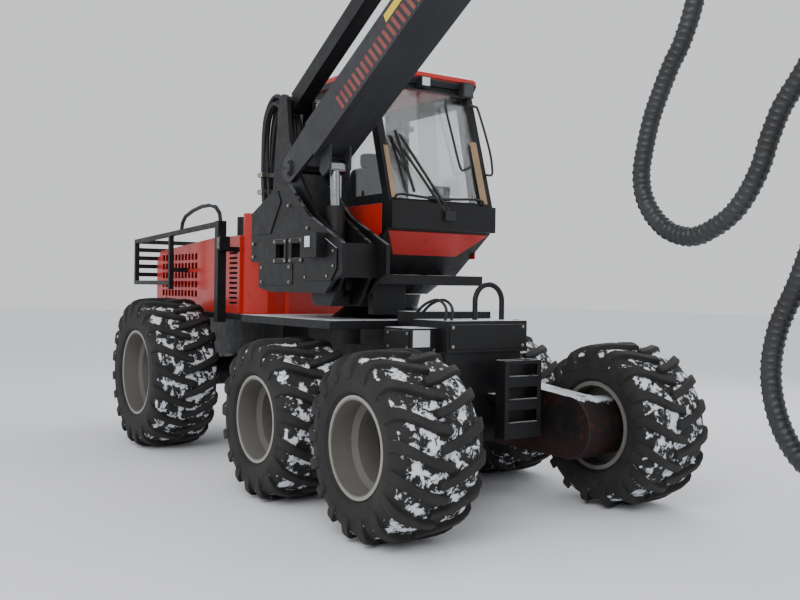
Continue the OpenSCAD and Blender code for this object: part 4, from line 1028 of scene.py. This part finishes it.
# Rows of short spikes on each feed roller
SPIKES_ROUND = 18
SPIKE_ROWS = 11
SPIKE_PITCH = 0.030
for side in ("right", "left"):
    node = "feed_roller_" + side
    low, high = (Vector(corner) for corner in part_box(node))
    axle = (low + high) / 2
    radius = (high.x - low.x) / 2
    shape = bmesh.new()
    for row in range(SPIKE_ROWS):
        z = low.z + 0.025 + row * SPIKE_PITCH
        for k in range(SPIKES_ROUND):
            turn = 2 * math.pi * (k + 0.5 * (row % 2)) / SPIKES_ROUND
            out = Vector((math.cos(turn), math.sin(turn), 0))
            foot = Vector((axle.x, axle.y, z))
            rod(shape, foot + out * (radius - 0.002), foot + out * (radius + 0.011), 0.008, 4, 0.003)
    piece("roller_spikes_" + side, shape, wear_steel, frame["nodes"][node]["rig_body"], 0)

# Hood, guard and bulkhead
shape = bmesh.new()
rod(shape, (-3.02, -0.44, 2.36), (-3.02, -0.16, 2.36), 0.105, 40)
rod(shape, (-3.02, -0.452, 2.36), (-3.02, -0.44, 2.36), 0.075, 32)
for x in (-4.9, -3.25):
    rod(shape, (x, -0.716, 1.575), (x, -0.700, 1.575), 0.026, 24)
for y in (-0.32, 0.32):
    block(shape, (-5.272, y - 0.05, 1.66), (-5.250, y + 0.05, 1.72))
piece("hood_intake_and_latches", shape, cab_plastic, "hood", 0.004, MACHINE)
shape = bmesh.new()
for i in range(7):
    x = -2.752 + i * 0.0095
    block(shape, (x, -0.961, 2.125), (x + 0.0045, -0.954, 2.235))
piece("guard_lamp_ribs", shape, zinc_plate, "hood", 0.001, MACHINE)

# Nose, deck and steps
# The wheel housings' bolt rings, given from the bogie's pivot
AXLE_X = 0.79
AXLE_Z = 0.665
HOUSING_RING = 0.17
shape = bmesh.new()
sheet(shape, (0.281, -0.62, 1.295), (0.281, -0.46, 1.425), 0.002)
sheet(shape, (0.401, 0.26, 1.33), (0.401, 0.36, 1.42), 0.002)
piece("nose_blank_plates", shape, plate_white, "carrier", 0.0006, MACHINE)
shape = bmesh.new()
sheet(shape, (-0.05, -0.641, 1.27), (0.26, -0.641, 1.42), 0.005)
sheet(shape, (0.401, -0.36, 1.28), (0.401, 0.41, 1.47), 0.006)
for z in (0.715, 0.895, 1.075):
    block(shape, (0.648, 0.025, z - 0.012), (0.664, 0.325, z))
piece("nose_covers_and_treads", shape, chassis_paint, "carrier", 0.002, MACHINE)
shape = bmesh.new()
box_heads = [(0.407, y, z) for y in (-0.33, 0.38) for z in (1.30, 1.45)]
side_heads = [(0.286, y, 1.27) for y in (-0.61, -0.42)]
hex_heads(shape, box_heads + side_heads, (1, 0, 0), 0.011)
hex_heads(shape, [(x, -0.646, z) for x in (-0.03, 0.24) for z in (1.29, 1.40)], (0, -1, 0), 0.010)
for side in (-1, 1):
    for axle_x in (-AXLE_X, AXLE_X):
        for k in range(10):
            turn = math.pi * k / 5
            x = axle_x + HOUSING_RING * math.cos(turn)
            z = AXLE_Z + HOUSING_RING * math.sin(turn)
            hex_heads(shape, [(x, side * 0.7605, z)], (0, side, 0), 0.012)
piece("carrier_bolts", shape, zinc_plate, "carrier", 0.001, MACHINE)
shape = bmesh.new()
for y in (-0.33, -0.27):
    route = [(0.30, 1.49), (0.31, 1.60), (0.20, 1.66), (0.02, 1.62), (-0.12, 1.52), (-0.16, 1.40)]
    tube(shape, curved([(x, y, z) for x, z in route], 0.03), 0.012)
piece("nose_hoses", shape, hose_rubber, "carrier", 0, MACHINE)


# Studio
def studio():
    """A plain pale floor under a wide soft sky, with one large lamp above the machine's front right."""
    floor_mesh = bpy.data.meshes.new("floor")
    half = 60
    floor_mesh.from_pydata(
        [(-half, -half, 0), (half, -half, 0), (half, half, 0), (-half, half, 0)], [], [(0, 1, 2, 3)]
    )
    floor = bpy.data.objects.new("floor", floor_mesh)
    bpy.context.scene.collection.objects.link(floor)
    matt = blank("matt_floor_paint")
    surface = add(
        matt.node_tree, "ShaderNodeBsdfPrincipled", {"Base Color": linear("f0f1f4"), "Roughness": 0.9}
    )
    add(matt.node_tree, "ShaderNodeOutputMaterial", {"Surface": surface.outputs[0]})
    floor_mesh.materials.append(matt)
    world = bpy.data.worlds.new("overcast")
    bpy.context.scene.world = world
    world.use_nodes = True
    world.node_tree.nodes.clear()
    sky = add(world.node_tree, "ShaderNodeBackground", {"Color": linear("eef0f3"), "Strength": 1.05})
    add(world.node_tree, "ShaderNodeOutputWorld", {"Surface": sky.outputs[0]})
    for name, place, size, power in (("key", (7, -9, 9), 8, 900), ("fill", (-4, 8, 8), 8, 350)):
        lamp = bpy.data.objects.new(name, bpy.data.lights.new(name, "AREA"))
        lamp.data.size = size
        lamp.data.energy = power
        lamp.location = place
        lamp.rotation_euler = (Vector((0, 0, 1.5)) - Vector(place)).to_track_quat("-Z", "Y").to_euler()
        bpy.context.scene.collection.objects.link(lamp)


studio()
